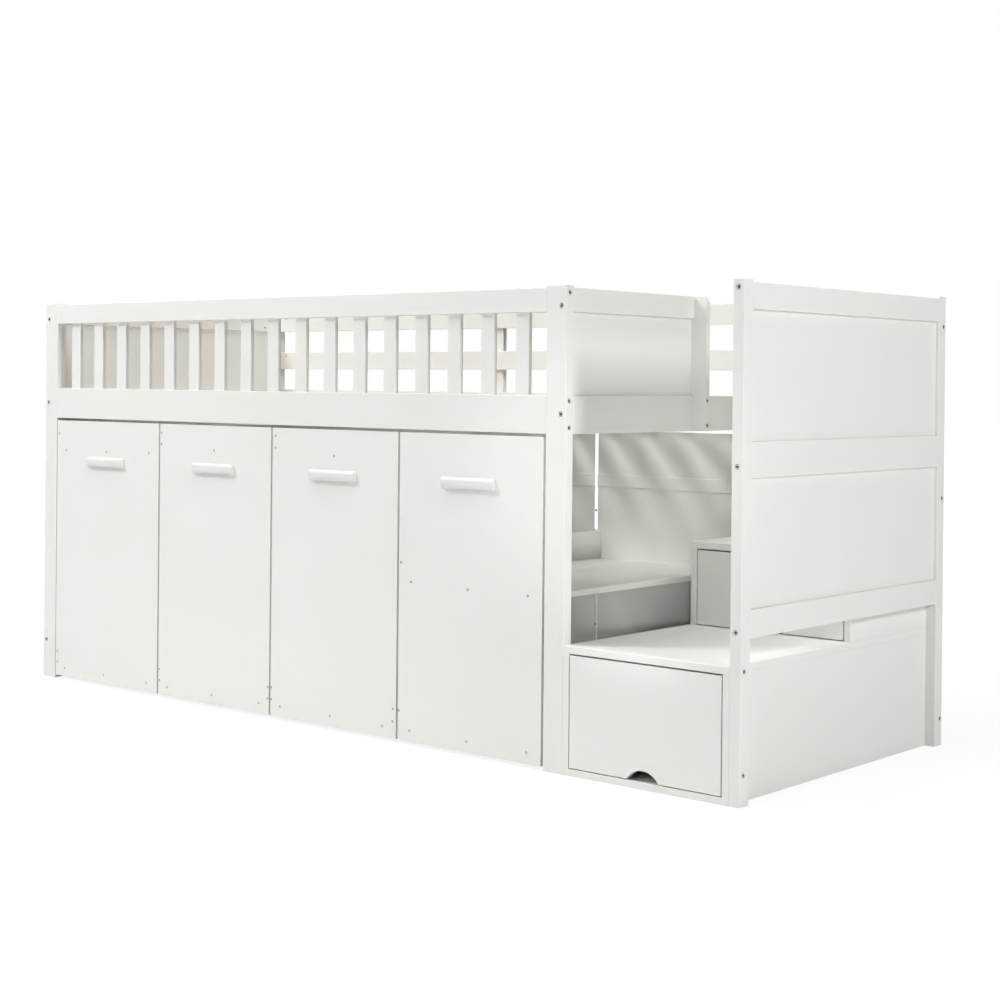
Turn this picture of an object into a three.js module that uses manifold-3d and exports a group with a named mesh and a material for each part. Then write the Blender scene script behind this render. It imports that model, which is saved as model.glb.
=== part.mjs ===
import * as THREE from "three";
import { mergeVertices } from "three/addons/utils/BufferGeometryUtils.js";
import Module from "manifold-3d";

const wasm = await Module();
wasm.setup();

// A low loft bed. Four tall units roll out from under the deck, and two stacked drawer boxes
// make the stairs at its right end. Sizes are in millimetres: X runs along the bed towards the
// stairs, Y from front to back and Z up. The bed's front left corner on the floor is zero.

// Posts and long rails
const BED_LENGTH = 2068; // over the left and the middle posts
const BED_DEPTH = 966;
const POST_HEIGHT = 1166;
const POST_WIDTH = 59; // along the bed
const POST_THICKNESS = 30.6; // front to back
const TOP_RAIL_DROP = 5; // below the post tops
const TOP_RAIL_HEIGHT = 58;
const DECK_RAIL_DROP = 264; // upper edge below the post tops
const DECK_RAIL_HEIGHT = 92;

// Front guard
const GUARD_SLAT_WIDTH = 42;
const GUARD_SLAT_THICKNESS = 12;
const GUARD_SLAT_SETBACK = 9; // behind the rails' front face
const GUARD_GAP = 70;
const GUARD_END_GAP = 61.5;

// Rear guard
const REAR_BOARD_THICKNESS = 15;
const REAR_MID_DROP = 72; // below the top board
const REAR_STILE_WIDTH = 86;

// Bed ends
const END_RAIL_THICKNESS = 28;
const END_PANEL_THICKNESS = 16;
const LOW_RAIL_BASE = 85;
const LOW_RAIL_HEIGHT = 60;

// Way in from the stairs
const INNER_GUARD_END = 540; // from the bed's front face to the grab stile
const GRAB_STILE_THICKNESS = 16;
const GRAB_STILE_REACH = 39; // proud of the bed's end
const GRAB_STILE_CORNER = 22;
const GRAB_STILE_LIFT = 1; // above the deck rail's lower edge

// Deck
const LEDGER_WIDTH = 22;
const LEDGER_HEIGHT = 25;
const LEDGER_LIFT = 4; // above the deck rails' lower edge
const DECK_SLAT_WIDTH = 68;
const DECK_SLAT_THICKNESS = 18;
const DECK_SLAT_GAP = 65;
const DECK_END_GAP = 41;
const DECK_SLAT_PLAY = 2; // to the rails at either end of a slat
const WEBBING_WIDTH = 25;
const WEBBING_THICKNESS = 1.5;
const WEBBING_SINK = 0.5; // stapled down into the slats
const WEBBING_INSET = 130; // from a slat's end

// Stair bay and its outer end frame
const BAY_WIDTH = 467;
const FRAME_POST_THICKNESS = 28; // along the bed
const FRAME_POST_WIDTH = 38.4; // front to back
const FRAME_TOP_DROP = 6;
const FRAME_TOP_HEIGHT = 60;
const FRAME_MID_BASE = 725;
const FRAME_MID_HEIGHT = 81;
const FRAME_LOW_BASE = 370;
const FRAME_LOW_HEIGHT = 63;
const BACK_GUARD_THICKNESS = 20;
const BACK_GUARD_RAIL_HEIGHT = 58;
const BACK_GUARD_TOP_DROP = 50; // below the post tops
const BACK_GUARD_LOW_BASE = 614;
const BACK_PANEL_THICKNESS = 12;

// Step boxes
const BOX_BOARD = 18;
const LOWER_STEP_HEIGHT = 308;
const UPPER_STEP_RISE = 216;
const UPPER_STEP_SETBACK = 536; // from the bed's front face
const BOX_FLOOR_THICKNESS = 16.5;

// Drawers
const DRAWER_FRONT_GAP = 2.5;
const DRAWER_BOARD = 12;
const DRAWER_BOTTOM = 9;
const DRAWER_BOTTOM_LIFT = 28; // finger room under the drawer's bottom
const DRAWER_SIDE_PLAY = 1.5;
const LOWER_DRAWER_REAR_GAP = 210; // to the box's back board
const LOWER_DRAWER_HEIGHT = 220;
const UPPER_DRAWER_REAR_GAP = 24;
const UPPER_DRAWER_HEIGHT = 150;
const FINGER_CUT_WIDTH = 90;
const FINGER_CUT_HEIGHT = 24;

// Roll-out units
const FRONT_THICKNESS = 15;
const FRONT_FLOOR_GAP = 9;
const FRONT_TOP_GAP = 8;
const FRONT_SIDE_GAP = 2; // left post to the first front
const FRONT_GAP = 3; // between fronts
const LAST_SIDE_GAP = 5; // last front to the middle post
const FRONT_WIDTH_SHARES = [0.257, 0.2487, 0.2477, 0.2466];
const CARCASS_BOARD = 15;
const CARCASS_INSET = 4; // inside the front's side edges
const CARCASS_REAR = 860; // back panel's rear face, from the bed's front face
const CARCASS_BASE = 28; // underside of the base board
const BACK_TOP_DROP = 6; // back panel below the front's top edge
const LOW_SIDE_HEIGHT = 80;
const LIP_HEIGHT = 80;
const DESK_TOP_DROP = 106; // underside below the deck rail
const SHELF_BASE = 407;
const ROD_RADIUS = 12.5;
const ROD_DROP = 79; // middle below the deck rail
const CLEAT_DROP = 142; // below the deck rail
const CLEAT_HEIGHT = 36;
const CLEAT_THICKNESS = 15;

// Handles
const HANDLE_LENGTH = 185;
const HANDLE_HEIGHT = 35;
const HANDLE_REACH = 18;
const HANDLE_WALL = 4;
const HANDLE_END_WALL = 14;
const HANDLE_DROP = 123.5; // handle's middle below the front's top edge
const HANDLE_STATION_SHARES = [-1, -0.97, -0.86, 0.86, 0.97, 1];
const HANDLE_DEPTH_SHARES = [0.5, 0.8, 1, 1, 0.8, 0.5];
const HANDLE_RISE_SHARES = [0.82, 0.94, 1, 1, 0.94, 0.82];
const HANDLE_ARC_STEPS = 6;

// Wheels: two on one axle, which turns in bearing blocks under the base board
const WHEEL_RADIUS = 12.5;
const WHEEL_WIDTH = 12;
const AXLE_RADIUS = 3;
const BEARING_RADIUS = 3.6;
const WHEEL_SIDE_PLAY = 1; // wheel to bearing block
const BEARING_BLOCK_WIDTH = 14;
const BEARING_BLOCK_LENGTH = 30;
const BEARING_BLOCK_FOOT = 6; // block below the axle's centre
const WHEEL_INSET_X = 24; // wheel's middle from the carcass's side
const WHEEL_INSET_Y = 62; // axle from the front and back panels
const WHEEL_SIDES = 16;
const AXLE_SIDES = 8;

// Holes for the connecting bolts and their barrel nuts
const HEAD_HOLE_RADIUS = 6.8;
const HEAD_HOLE_DEPTH = 5.5;
const HEAD_HOLE_SIDES = 12;
const BOLT_HOLE_RADIUS = 3.4;
const BOLT_HOLE_SIDES = 6;
const BOLT_BITE = 45; // into a rail that has a barrel nut
const BLIND_BITE = 14; // into a board that has none
const NUT_HOLE_RADIUS = 5;
const NUT_HOLE_SIDES = 8;
const NUT_SETBACK = 38; // from the rail's end
const NUT_HOLE_TAIL = 4; // past the bolt
const LONG_BOLT_DROP = 12; // below a long rail's top edge
const DECK_BOLT_RISE = 16; // second bolt above the deck rail's lower edge
const CROSS_BOLT_DROP = 44; // below an end rail's top edge, clear of the long bolts
const FRAME_MID_BOLT_RISE = 26;
const FRAME_LOW_BOLT_RISE = 15;
const BOX_BOLT_HEIGHT = 70;
const BOX_BOLT_SETBACK = 16; // from the end post's front face

// Sliding clearance, how far the boards of one glued piece are let into each other, and the
// overrun of a cut
const FIT = 0.3;
const LET_IN = 4;
const OVERRUN = 1;

const painted = new THREE.MeshStandardMaterial({ color: 0xebece7, roughness: 0.5, metalness: 0 });
const plastic = new THREE.MeshStandardMaterial({ color: 0xf4f4f0, roughness: 0.3, metalness: 0 });
const raw = new THREE.MeshStandardMaterial({ color: 0xd9b98a, roughness: 0.7, metalness: 0 });
const wheelPlastic = new THREE.MeshStandardMaterial({ color: 0x3a3b3d, roughness: 0.7, metalness: 0 });

// A stretch is a pair of ends on one axis.
const between = (a, b) => [a[1], b[0]];
const from = (start, size) => [start, start + size];
const upTo = (end, size) => [end - size, end];
const around = (centre, size) => [centre - size / 2, centre + size / 2];
const middle = (stretch) => (stretch[0] + stretch[1]) / 2;
const length = (stretch) => stretch[1] - stretch[0];
const inset = (stretch, by) => [stretch[0] + by, stretch[1] - by];
const letIn = (stretch) => inset(stretch, -LET_IN);

function board(x, y, z) {
  const shape = new THREE.BoxGeometry(length(x), length(y), length(z));
  return shape.translate(middle(x), middle(y), middle(z));
}

// A closed mesh as a solid that can be cut, and back.
function toSolid(geometry) {
  const bare = geometry.clone();
  bare.deleteAttribute("normal");
  bare.deleteAttribute("uv");
  const merged = mergeVertices(bare, FIT / 1000);
  const vertProperties = new Float32Array(merged.attributes.position.array);
  const triVerts = new Uint32Array(merged.index.array);
  return new wasm.Manifold(new wasm.Mesh({ numProp: 3, vertProperties, triVerts }));
}

function toGeometry(solid) {
  const mesh = solid.getMesh();
  const geometry = new THREE.BufferGeometry();
  geometry.setAttribute("position", new THREE.BufferAttribute(mesh.vertProperties, 3));
  geometry.setIndex(new THREE.BufferAttribute(mesh.triVerts, 1));
  return geometry;
}

function cut(geometry, cutters) {
  let solid = toSolid(geometry);
  for (const cutter of cutters) solid = solid.subtract(toSolid(cutter));
  return toGeometry(solid);
}

function join(geometries) {
  let solid = toSolid(geometries[0]);
  for (const other of geometries.slice(1)) solid = solid.add(toSolid(other));
  return toGeometry(solid);
}

// A straight round bar from a point along a direction.
function bar(start, direction, radius, reach, sides) {
  const geometry = new THREE.CylinderGeometry(radius, radius, reach, sides);
  geometry.translate(0, reach / 2, 0);
  geometry.applyQuaternion(new THREE.Quaternion().setFromUnitVectors(up, direction));
  return geometry.translate(start.x, start.y, start.z);
}
const up = new THREE.Vector3(0, 1, 0);
const RIGHT = new THREE.Vector3(1, 0, 0);
const LEFT = new THREE.Vector3(-1, 0, 0);
const BACK = new THREE.Vector3(0, 1, 0);
const FRONT = new THREE.Vector3(0, -1, 0);

// An outline in X and Z, made solid over a stretch of Y.
function plate(outline, y, steps) {
  const geometry = new THREE.ExtrudeGeometry(outline, {
    depth: length(y),
    bevelEnabled: false,
    curveSegments: steps,
  });
  return geometry.rotateX(Math.PI / 2).translate(0, y[1], 0);
}

// A named sub-part, glued up from one board or more. Bolt holes noted under its name are drilled.
const boltHoles = {};
function piece(parent, name, material, geometries) {
  const blank = geometries.length > 1 ? join(geometries) : geometries[0];
  const shaped = boltHoles[name] ? cut(blank, boltHoles[name]) : blank;
  shaped.computeVertexNormals();
  const mesh = new THREE.Mesh(shaped, material);
  mesh.name = name;
  parent.add(mesh);
}

// Holes of one connecting bolt. Its head sinks in the first board's face and its shank runs on into
// the second board, where a barrel nut, put in from that board's inner face, takes its end.
function drill(name, start, direction, radius, reach, sides) {
  const mouth = start.clone().addScaledVector(direction, -OVERRUN);
  boltHoles[name] = boltHoles[name] || [];
  boltHoles[name].push(bar(mouth, direction, radius, reach + OVERRUN, sides));
}

function boltHole({ first, second, at, into, through, nutFrom, thickness }) {
  const entry = at.clone().addScaledVector(into, through);
  const bite = nutFrom ? BOLT_BITE : BLIND_BITE;
  drill(first, at, into, HEAD_HOLE_RADIUS, HEAD_HOLE_DEPTH, HEAD_HOLE_SIDES);
  drill(first, at, into, BOLT_HOLE_RADIUS, through + OVERRUN, BOLT_HOLE_SIDES);
  drill(second, entry, into, BOLT_HOLE_RADIUS, bite, BOLT_HOLE_SIDES);
  if (!nutFrom) return;
  const nutMouth = entry.clone().addScaledVector(into, NUT_SETBACK);
  nutMouth.addScaledVector(nutFrom, thickness / 2);
  const inwards = nutFrom.clone().negate();
  drill(second, nutMouth, inwards, NUT_HOLE_RADIUS, thickness / 2 + NUT_HOLE_TAIL, NUT_HOLE_SIDES);
}

// Stretches of the bed that several pieces share
const leftPosts = from(0, POST_WIDTH);
const middlePosts = upTo(BED_LENGTH, POST_WIDTH);
const frontPosts = from(0, POST_THICKNESS);
const rearPosts = upTo(BED_DEPTH, POST_THICKNESS);
const postRise = from(0, POST_HEIGHT);
const topRail = upTo(POST_HEIGHT - TOP_RAIL_DROP, TOP_RAIL_HEIGHT);
const deckRail = upTo(POST_HEIGHT - DECK_RAIL_DROP, DECK_RAIL_HEIGHT);
const bedOpening = between(leftPosts, middlePosts);
const bedInside = between(frontPosts, rearPosts);
const leftEnd = from(0, END_RAIL_THICKNESS);
const innerEnd = upTo(BED_LENGTH, END_RAIL_THICKNESS);
const rearBoards = from(rearPosts[0], REAR_BOARD_THICKNESS);
const rearMid = upTo(topRail[0] - REAR_MID_DROP, TOP_RAIL_HEIGHT);
const lowRail = from(LOW_RAIL_BASE, LOW_RAIL_HEIGHT);
const bay = from(BED_LENGTH, BAY_WIDTH);
const framePosts = from(bay[1], FRAME_POST_THICKNESS);
const frameFront = from(0, FRAME_POST_WIDTH);
const frameRear = upTo(BED_DEPTH, FRAME_POST_WIDTH);
const frameInside = between(frameFront, frameRear);
const frameTop = upTo(POST_HEIGHT - FRAME_TOP_DROP, FRAME_TOP_HEIGHT);
const frameMid = from(FRAME_MID_BASE, FRAME_MID_HEIGHT);
const frameLow = from(FRAME_LOW_BASE, FRAME_LOW_HEIGHT);
const backGuard = upTo(BED_DEPTH, BACK_GUARD_THICKNESS);
const backGuardTop = upTo(POST_HEIGHT - BACK_GUARD_TOP_DROP, BACK_GUARD_RAIL_HEIGHT);
const backGuardLow = from(BACK_GUARD_LOW_BASE, BACK_GUARD_RAIL_HEIGHT);
const lowerTop = upTo(LOWER_STEP_HEIGHT, BOX_BOARD);
const overallLength = framePosts[1];

// Bolts along the bed, from the posts' side faces into the ends of the long rails
for (const [rail, row, depth, height, nutFrom] of [
  ["front_guard", "front", frontPosts, topRail[1] - LONG_BOLT_DROP, BACK],
  ["front_deck_rail", "front", frontPosts, deckRail[1] - LONG_BOLT_DROP, BACK],
  ["front_deck_rail", "front", frontPosts, deckRail[0] + DECK_BOLT_RISE, BACK],
  ["rear_guard", "rear", rearBoards, topRail[1] - LONG_BOLT_DROP, FRONT],
  ["rear_guard", "rear", rearBoards, rearMid[1] - LONG_BOLT_DROP, FRONT],
  ["rear_deck_rail", "rear", rearPosts, deckRail[1] - LONG_BOLT_DROP, FRONT],
  ["rear_deck_rail", "rear", rearPosts, deckRail[0] + DECK_BOLT_RISE, FRONT],
]) {
  const shared = { second: rail, through: POST_WIDTH, nutFrom, thickness: length(depth) };
  const leftHead = new THREE.Vector3(leftPosts[0], middle(depth), height);
  const rightHead = new THREE.Vector3(middlePosts[1], middle(depth), height);
  boltHole({ ...shared, first: `post_${row}_left`, at: leftHead, into: RIGHT });
  boltHole({ ...shared, first: `post_${row}_middle`, at: rightHead, into: LEFT });
}

// Bolts from front and back into the ends of the rails that run across the bed
for (const [rail, frontPost, rearPost, along, height, nutFrom] of [
  ["left_top_rail", "post_front_left", "post_rear_left", leftEnd, topRail[1] - CROSS_BOLT_DROP, RIGHT],
  ["left_deck_rail", "post_front_left", "post_rear_left", leftEnd, deckRail[1] - CROSS_BOLT_DROP, RIGHT],
  ["left_low_rail", "post_front_left", "post_rear_left", leftEnd, middle(lowRail), RIGHT],
  ["inner_top_rail", "post_front_middle", null, innerEnd, topRail[1] - CROSS_BOLT_DROP, LEFT],
  [
    "inner_deck_rail",
    "post_front_middle",
    "post_rear_middle",
    innerEnd,
    deckRail[1] - CROSS_BOLT_DROP,
    LEFT,
  ],
]) {
  const shared = { second: rail, through: POST_THICKNESS, nutFrom, thickness: length(along) };
  const frontHead = new THREE.Vector3(middle(along), 0, height);
  boltHole({ ...shared, first: frontPost, at: frontHead, into: BACK });
  if (!rearPost) continue;
  const rearHead = new THREE.Vector3(middle(along), BED_DEPTH, height);
  boltHole({ ...shared, first: rearPost, at: rearHead, into: FRONT });
}
for (const [rail, height] of [
  ["frame_top_rail", frameTop[1] - LONG_BOLT_DROP],
  ["frame_mid_rail", frameMid[0] + FRAME_MID_BOLT_RISE],
  ["frame_low_rail", frameLow[0] + FRAME_LOW_BOLT_RISE],
]) {
  const shared = { second: rail, through: FRAME_POST_WIDTH, nutFrom: LEFT };
  const frontHead = new THREE.Vector3(middle(framePosts), 0, height);
  const rearHead = new THREE.Vector3(middle(framePosts), BED_DEPTH, height);
  const thickness = FRAME_POST_THICKNESS;
  boltHole({ ...shared, first: "frame_post_front", at: frontHead, into: BACK, thickness });
  boltHole({ ...shared, first: "frame_post_rear", at: rearHead, into: FRONT, thickness });
}

// Bolts of the stair bay's back guard, at both its ends
for (const rail of [backGuardTop, backGuardLow]) {
  const shared = { second: "stair_back_guard", nutFrom: FRONT, thickness: BACK_GUARD_THICKNESS };
  const outer = new THREE.Vector3(framePosts[1], middle(backGuard), middle(rail));
  const inner = new THREE.Vector3(middlePosts[0], middle(backGuard), middle(rail));
  const frameSide = { first: "frame_post_rear", through: FRAME_POST_THICKNESS };
  boltHole({ ...shared, ...frameSide, at: outer, into: LEFT });
  boltHole({ ...shared, first: "post_rear_middle", at: inner, into: RIGHT, through: POST_WIDTH });
}

// Bolts from the end frame into the lower step, and from the grab stile into the deck rail
for (const [post, second, y, height] of [
  ["frame_post_front", "lower_step_carcass", BOX_BOLT_SETBACK, BOX_BOLT_HEIGHT],
  ["frame_post_front", "lower_step_tread", BOX_BOLT_SETBACK, middle(lowerTop)],
  ["frame_post_rear", "lower_step_carcass", middle(backGuard), BOX_BOLT_HEIGHT],
]) {
  const at = new THREE.Vector3(framePosts[1], y, height);
  boltHole({ first: post, second, at, into: LEFT, through: FRAME_POST_THICKNESS });
}
const grabStile = from(INNER_GUARD_END, GRAB_STILE_THICKNESS);
for (const height of [deckRail[1] - LONG_BOLT_DROP, deckRail[0] + DECK_BOLT_RISE]) {
  const at = new THREE.Vector3(BED_LENGTH + GRAB_STILE_REACH, middle(grabStile), height);
  const boards = { first: "grab_stile", second: "inner_deck_rail" };
  boltHole({ ...boards, at, into: LEFT, through: GRAB_STILE_REACH });
}

// The bed's own corner is zero here. The whole part is centred on the floor under it.
const bed = new THREE.Group();
bed.position.set(-overallLength / 2, -(BED_DEPTH - HANDLE_REACH) / 2, 0);

// Posts
piece(bed, "post_front_left", painted, [board(leftPosts, frontPosts, postRise)]);
piece(bed, "post_front_middle", painted, [board(middlePosts, frontPosts, postRise)]);
piece(bed, "post_rear_left", painted, [board(leftPosts, rearPosts, postRise)]);
piece(bed, "post_rear_middle", painted, [board(middlePosts, rearPosts, postRise)]);
piece(bed, "frame_post_front", painted, [board(framePosts, frameFront, postRise)]);
piece(bed, "frame_post_rear", painted, [board(framePosts, frameRear, postRise)]);

// Boards of one width, spread evenly over a stretch with a gap at either end.
function spread(stretch, width, gap, endGap) {
  const room = length(stretch) - endGap * 2;
  const count = Math.max(2, Math.round((room + gap) / (width + gap)));
  const pitch = (room - width) / (count - 1);
  return Array.from({ length: count }, (_, i) => from(stretch[0] + endGap + i * pitch, width));
}
const guardDepth = from(GUARD_SLAT_SETBACK, GUARD_SLAT_THICKNESS);
const guardSlats = spread(bedOpening, GUARD_SLAT_WIDTH, GUARD_GAP, GUARD_END_GAP);
const guardRise = [deckRail[1], topRail[0] + LET_IN];
piece(bed, "front_guard", painted, [
  board(bedOpening, frontPosts, topRail),
  ...guardSlats.map((x) => board(x, guardDepth, guardRise)),
]);
piece(bed, "front_deck_rail", painted, [board(bedOpening, frontPosts, deckRail)]);

// Rear guard, two boards on a stile, and the rear deck rail
const stileDepth = [rearBoards[1] - LET_IN, BED_DEPTH];
const stileWidth = around(middle(bedOpening), REAR_STILE_WIDTH);
piece(bed, "rear_guard", painted, [
  board(bedOpening, rearBoards, topRail),
  board(bedOpening, rearBoards, rearMid),
  board(stileWidth, stileDepth, [deckRail[1], topRail[1]]),
]);
piece(bed, "rear_deck_rail", painted, [board(bedOpening, rearPosts, deckRail)]);

// Left end
const leftPanels = around(middle(leftEnd), END_PANEL_THICKNESS);
piece(bed, "left_top_rail", painted, [board(leftEnd, bedInside, topRail)]);
piece(bed, "left_deck_rail", painted, [board(leftEnd, bedInside, deckRail)]);
piece(bed, "left_low_rail", painted, [board(leftEnd, bedInside, lowRail)]);
piece(bed, "left_upper_panel", painted, [board(leftPanels, bedInside, between(deckRail, topRail))]);
piece(bed, "left_lower_panel", painted, [board(leftPanels, bedInside, between(lowRail, deckRail))]);

// Inner end, with the way in behind the grab stile
const innerGuard = [frontPosts[1], INNER_GUARD_END];
const innerPanel = around(middle(innerEnd), END_PANEL_THICKNESS);
piece(bed, "inner_top_rail", painted, [board(innerEnd, innerGuard, topRail)]);
piece(bed, "inner_end_panel", painted, [board(innerPanel, innerGuard, between(deckRail, topRail))]);
piece(bed, "inner_deck_rail", painted, [board(innerEnd, bedInside, deckRail)]);

function grabStileOutline() {
  const outer = BED_LENGTH + GRAB_STILE_REACH;
  const corner = [outer - GRAB_STILE_CORNER, topRail[1] - GRAB_STILE_CORNER];
  const outline = new THREE.Shape();
  outline.moveTo(innerEnd[0], deckRail[1]);
  outline.lineTo(BED_LENGTH, deckRail[1]);
  outline.lineTo(BED_LENGTH, deckRail[0] + GRAB_STILE_LIFT);
  outline.lineTo(outer, deckRail[0] + GRAB_STILE_LIFT);
  outline.lineTo(outer, corner[1]);
  outline.absarc(corner[0], corner[1], GRAB_STILE_CORNER, 0, Math.PI / 2, false);
  outline.lineTo(innerEnd[0], topRail[1]);
  return outline;
}
piece(bed, "grab_stile", painted, [plate(grabStileOutline(), grabStile, 5)]);

// Deck: a roll of slats, stapled to two webbing straps, on ledgers inside the deck rails
const deckLength = between(leftEnd, innerEnd);
const ledgerRise = from(deckRail[0] + LEDGER_LIFT, LEDGER_HEIGHT);
const slatRise = from(ledgerRise[1], DECK_SLAT_THICKNESS);
const deckSlats = spread(deckLength, DECK_SLAT_WIDTH, DECK_SLAT_GAP, DECK_END_GAP);
const slatReach = inset(bedInside, DECK_SLAT_PLAY);
const webbingRise = from(slatRise[1] - WEBBING_SINK, WEBBING_THICKNESS);
const webbingLength = [deckSlats[0][0], deckSlats.at(-1)[1]];
const strapSpan = inset(slatReach, WEBBING_INSET);
piece(bed, "ledger_front", raw, [
  board(deckLength, from(bedInside[0], LEDGER_WIDTH), ledgerRise),
]);
piece(bed, "ledger_rear", raw, [
  board(deckLength, upTo(bedInside[1], LEDGER_WIDTH), ledgerRise),
]);
piece(bed, "slat_roll", raw, [
  ...deckSlats.map((x) => board(x, slatReach, slatRise)),
  board(webbingLength, from(strapSpan[0], WEBBING_WIDTH), webbingRise),
  board(webbingLength, upTo(strapSpan[1], WEBBING_WIDTH), webbingRise),
]);

// End frame of the stair bay
const framePanels = around(middle(framePosts), END_PANEL_THICKNESS);
const frameUpper = between(frameMid, frameTop);
const frameLower = between(frameLow, frameMid);
piece(bed, "frame_top_rail", painted, [board(framePosts, frameInside, frameTop)]);
piece(bed, "frame_mid_rail", painted, [board(framePosts, frameInside, frameMid)]);
piece(bed, "frame_low_rail", painted, [board(framePosts, frameInside, frameLow)]);
piece(bed, "frame_upper_panel", painted, [board(framePanels, frameInside, frameUpper)]);
piece(bed, "frame_lower_panel", painted, [board(framePanels, frameInside, frameLower)]);

// Back guard of the stair bay
const backPanelDepth = around(middle(backGuard), BACK_PANEL_THICKNESS);
piece(bed, "stair_back_guard", painted, [
  board(bay, backGuard, backGuardTop),
  board(bay, backGuard, backGuardLow),
  board(bay, backPanelDepth, letIn(between(backGuardLow, backGuardTop))),
]);

// Step boxes: open at the front, the upper one standing on the lower one
const leftSide = from(bay[0], BOX_BOARD);
const rightSide = upTo(bay[1], BOX_BOARD);
const boxInside = between(leftSide, rightSide);
const boxBack = upTo(BED_DEPTH, BOX_BOARD);
const upperTop = upTo(LOWER_STEP_HEIGHT + UPPER_STEP_RISE, BOX_BOARD);
const lowerRise = [0, lowerTop[0]];
const upperRise = [LOWER_STEP_HEIGHT, upperTop[0]];
const lowerDepth = [0, BED_DEPTH];
const upperDepth = [UPPER_STEP_SETBACK, BED_DEPTH];
const boxFloor = from(0, BOX_FLOOR_THICKNESS);
piece(bed, "lower_step_carcass", painted, [
  board(leftSide, lowerDepth, lowerRise),
  board(rightSide, lowerDepth, lowerRise),
  board(letIn(boxInside), lowerDepth, boxFloor),
  board(letIn(boxInside), boxBack, lowerRise),
]);
piece(bed, "lower_step_tread", painted, [board(bay, lowerDepth, lowerTop)]);
piece(bed, "upper_step_carcass", painted, [
  board(leftSide, upperDepth, upperRise),
  board(rightSide, upperDepth, upperRise),
  board(letIn(boxInside), boxBack, upperRise),
]);
piece(bed, "upper_step_tread", painted, [board(bay, upperDepth, upperTop)]);

// Drawers: an inset front with a half-moon finger cut-out, and a box whose sides slide on the
// board under them
function fingerCut(base) {
  const half = FINGER_CUT_WIDTH / 2;
  const radius = (half * half + FINGER_CUT_HEIGHT * FINGER_CUT_HEIGHT) / (FINGER_CUT_HEIGHT * 2);
  const outline = new THREE.Shape();
  const centre = base + FINGER_CUT_HEIGHT - radius;
  const spreadAngle = Math.asin(Math.min(1, half / radius));
  outline.moveTo(middle(bay) + half, base - OVERRUN);
  outline.lineTo(middle(bay) + half, base);
  outline.absarc(
    middle(bay),
    centre,
    radius,
    Math.PI / 2 - spreadAngle,
    Math.PI / 2 + spreadAngle,
    false,
  );
  outline.lineTo(middle(bay) - half, base - OVERRUN);
  return outline;
}

function drawer(name, front, rise, rearGap, boxHeight) {
  const panel = [front, front + BOX_BOARD];
  const face = inset(rise, DRAWER_FRONT_GAP);
  const plain = board(inset(boxInside, DRAWER_FRONT_GAP), panel, face);
  const cutter = plate(fingerCut(face[0]), inset(panel, -OVERRUN), 10);
  piece(bed, `${name}_front`, painted, [cut(plain, [cutter])]);
  const base = rise[0] + FIT;
  const outer = inset(boxInside, DRAWER_SIDE_PLAY);
  const left = from(outer[0], DRAWER_BOARD);
  const right = upTo(outer[1], DRAWER_BOARD);
  const room = letIn(between(left, right));
  const depth = [panel[1], boxBack[0] - rearGap];
  const rear = upTo(depth[1], DRAWER_BOARD);
  const bottom = from(base + DRAWER_BOTTOM_LIFT, DRAWER_BOTTOM);
  const sideRise = from(base, boxHeight);
  piece(bed, `${name}_box`, painted, [
    board(left, depth, sideRise),
    board(right, depth, sideRise),
    board(room, depth, bottom),
    board(room, rear, [bottom[0], sideRise[1]]),
  ]);
}
const lowerOpening = [boxFloor[1], lowerTop[0]];
drawer("lower_drawer", 0, lowerOpening, LOWER_DRAWER_REAR_GAP, LOWER_DRAWER_HEIGHT);
drawer("upper_drawer", UPPER_STEP_SETBACK, upperRise, UPPER_DRAWER_REAR_GAP, UPPER_DRAWER_HEIGHT);

// Handle: a rounded bar with a finger recess that opens downwards, screwed to a front
function handleShell(x, height) {
  const rings = HANDLE_STATION_SHARES.map((share, i) => {
    const depth = HANDLE_REACH * HANDLE_DEPTH_SHARES[i];
    const rise = (HANDLE_HEIGHT / 2) * HANDLE_RISE_SHARES[i];
    return Array.from({ length: HANDLE_ARC_STEPS + 1 }, (_, k) => {
      const angle = Math.PI * (k / HANDLE_ARC_STEPS - 1 / 2);
      const along = x + (share * HANDLE_LENGTH) / 2;
      return [along, -depth * Math.cos(angle), height + rise * Math.sin(angle)];
    });
  });
  const size = rings[0].length;
  const faces = [];
  rings.slice(1).forEach((_, i) => {
    for (let k = 0; k < size; k++) {
      const [a, b] = [i * size + k, i * size + ((k + 1) % size)];
      faces.push(a, a + size, b, b, a + size, b + size);
    }
  });
  const last = (rings.length - 1) * size;
  for (let k = 1; k < size - 1; k++) {
    faces.push(0, k, k + 1);
    faces.push(last, last + k + 1, last + k);
  }
  const geometry = new THREE.BufferGeometry();
  geometry.setAttribute("position", new THREE.Float32BufferAttribute(rings.flat(2), 3));
  geometry.setIndex(faces);
  const recess = board(
    around(x, HANDLE_LENGTH - HANDLE_END_WALL * 2),
    [-(HANDLE_REACH - HANDLE_WALL), OVERRUN],
    [height - HANDLE_HEIGHT / 2 - OVERRUN, height + HANDLE_HEIGHT / 2 - HANDLE_WALL * 2],
  );
  return cut(geometry, [recess]);
}

// Bearing block under a base board, and the pair of wheels on their axle
function bearingBlock(x, y) {
  const width = around(x, BEARING_BLOCK_WIDTH);
  const rise = [WHEEL_RADIUS - BEARING_BLOCK_FOOT, CARCASS_BASE + LET_IN];
  const start = new THREE.Vector3(width[0] - OVERRUN, y, WHEEL_RADIUS);
  const reach = BEARING_BLOCK_WIDTH + OVERRUN * 2;
  const block = board(width, around(y, BEARING_BLOCK_LENGTH), rise);
  return cut(block, [bar(start, RIGHT, BEARING_RADIUS, reach, AXLE_SIDES)]);
}

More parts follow.
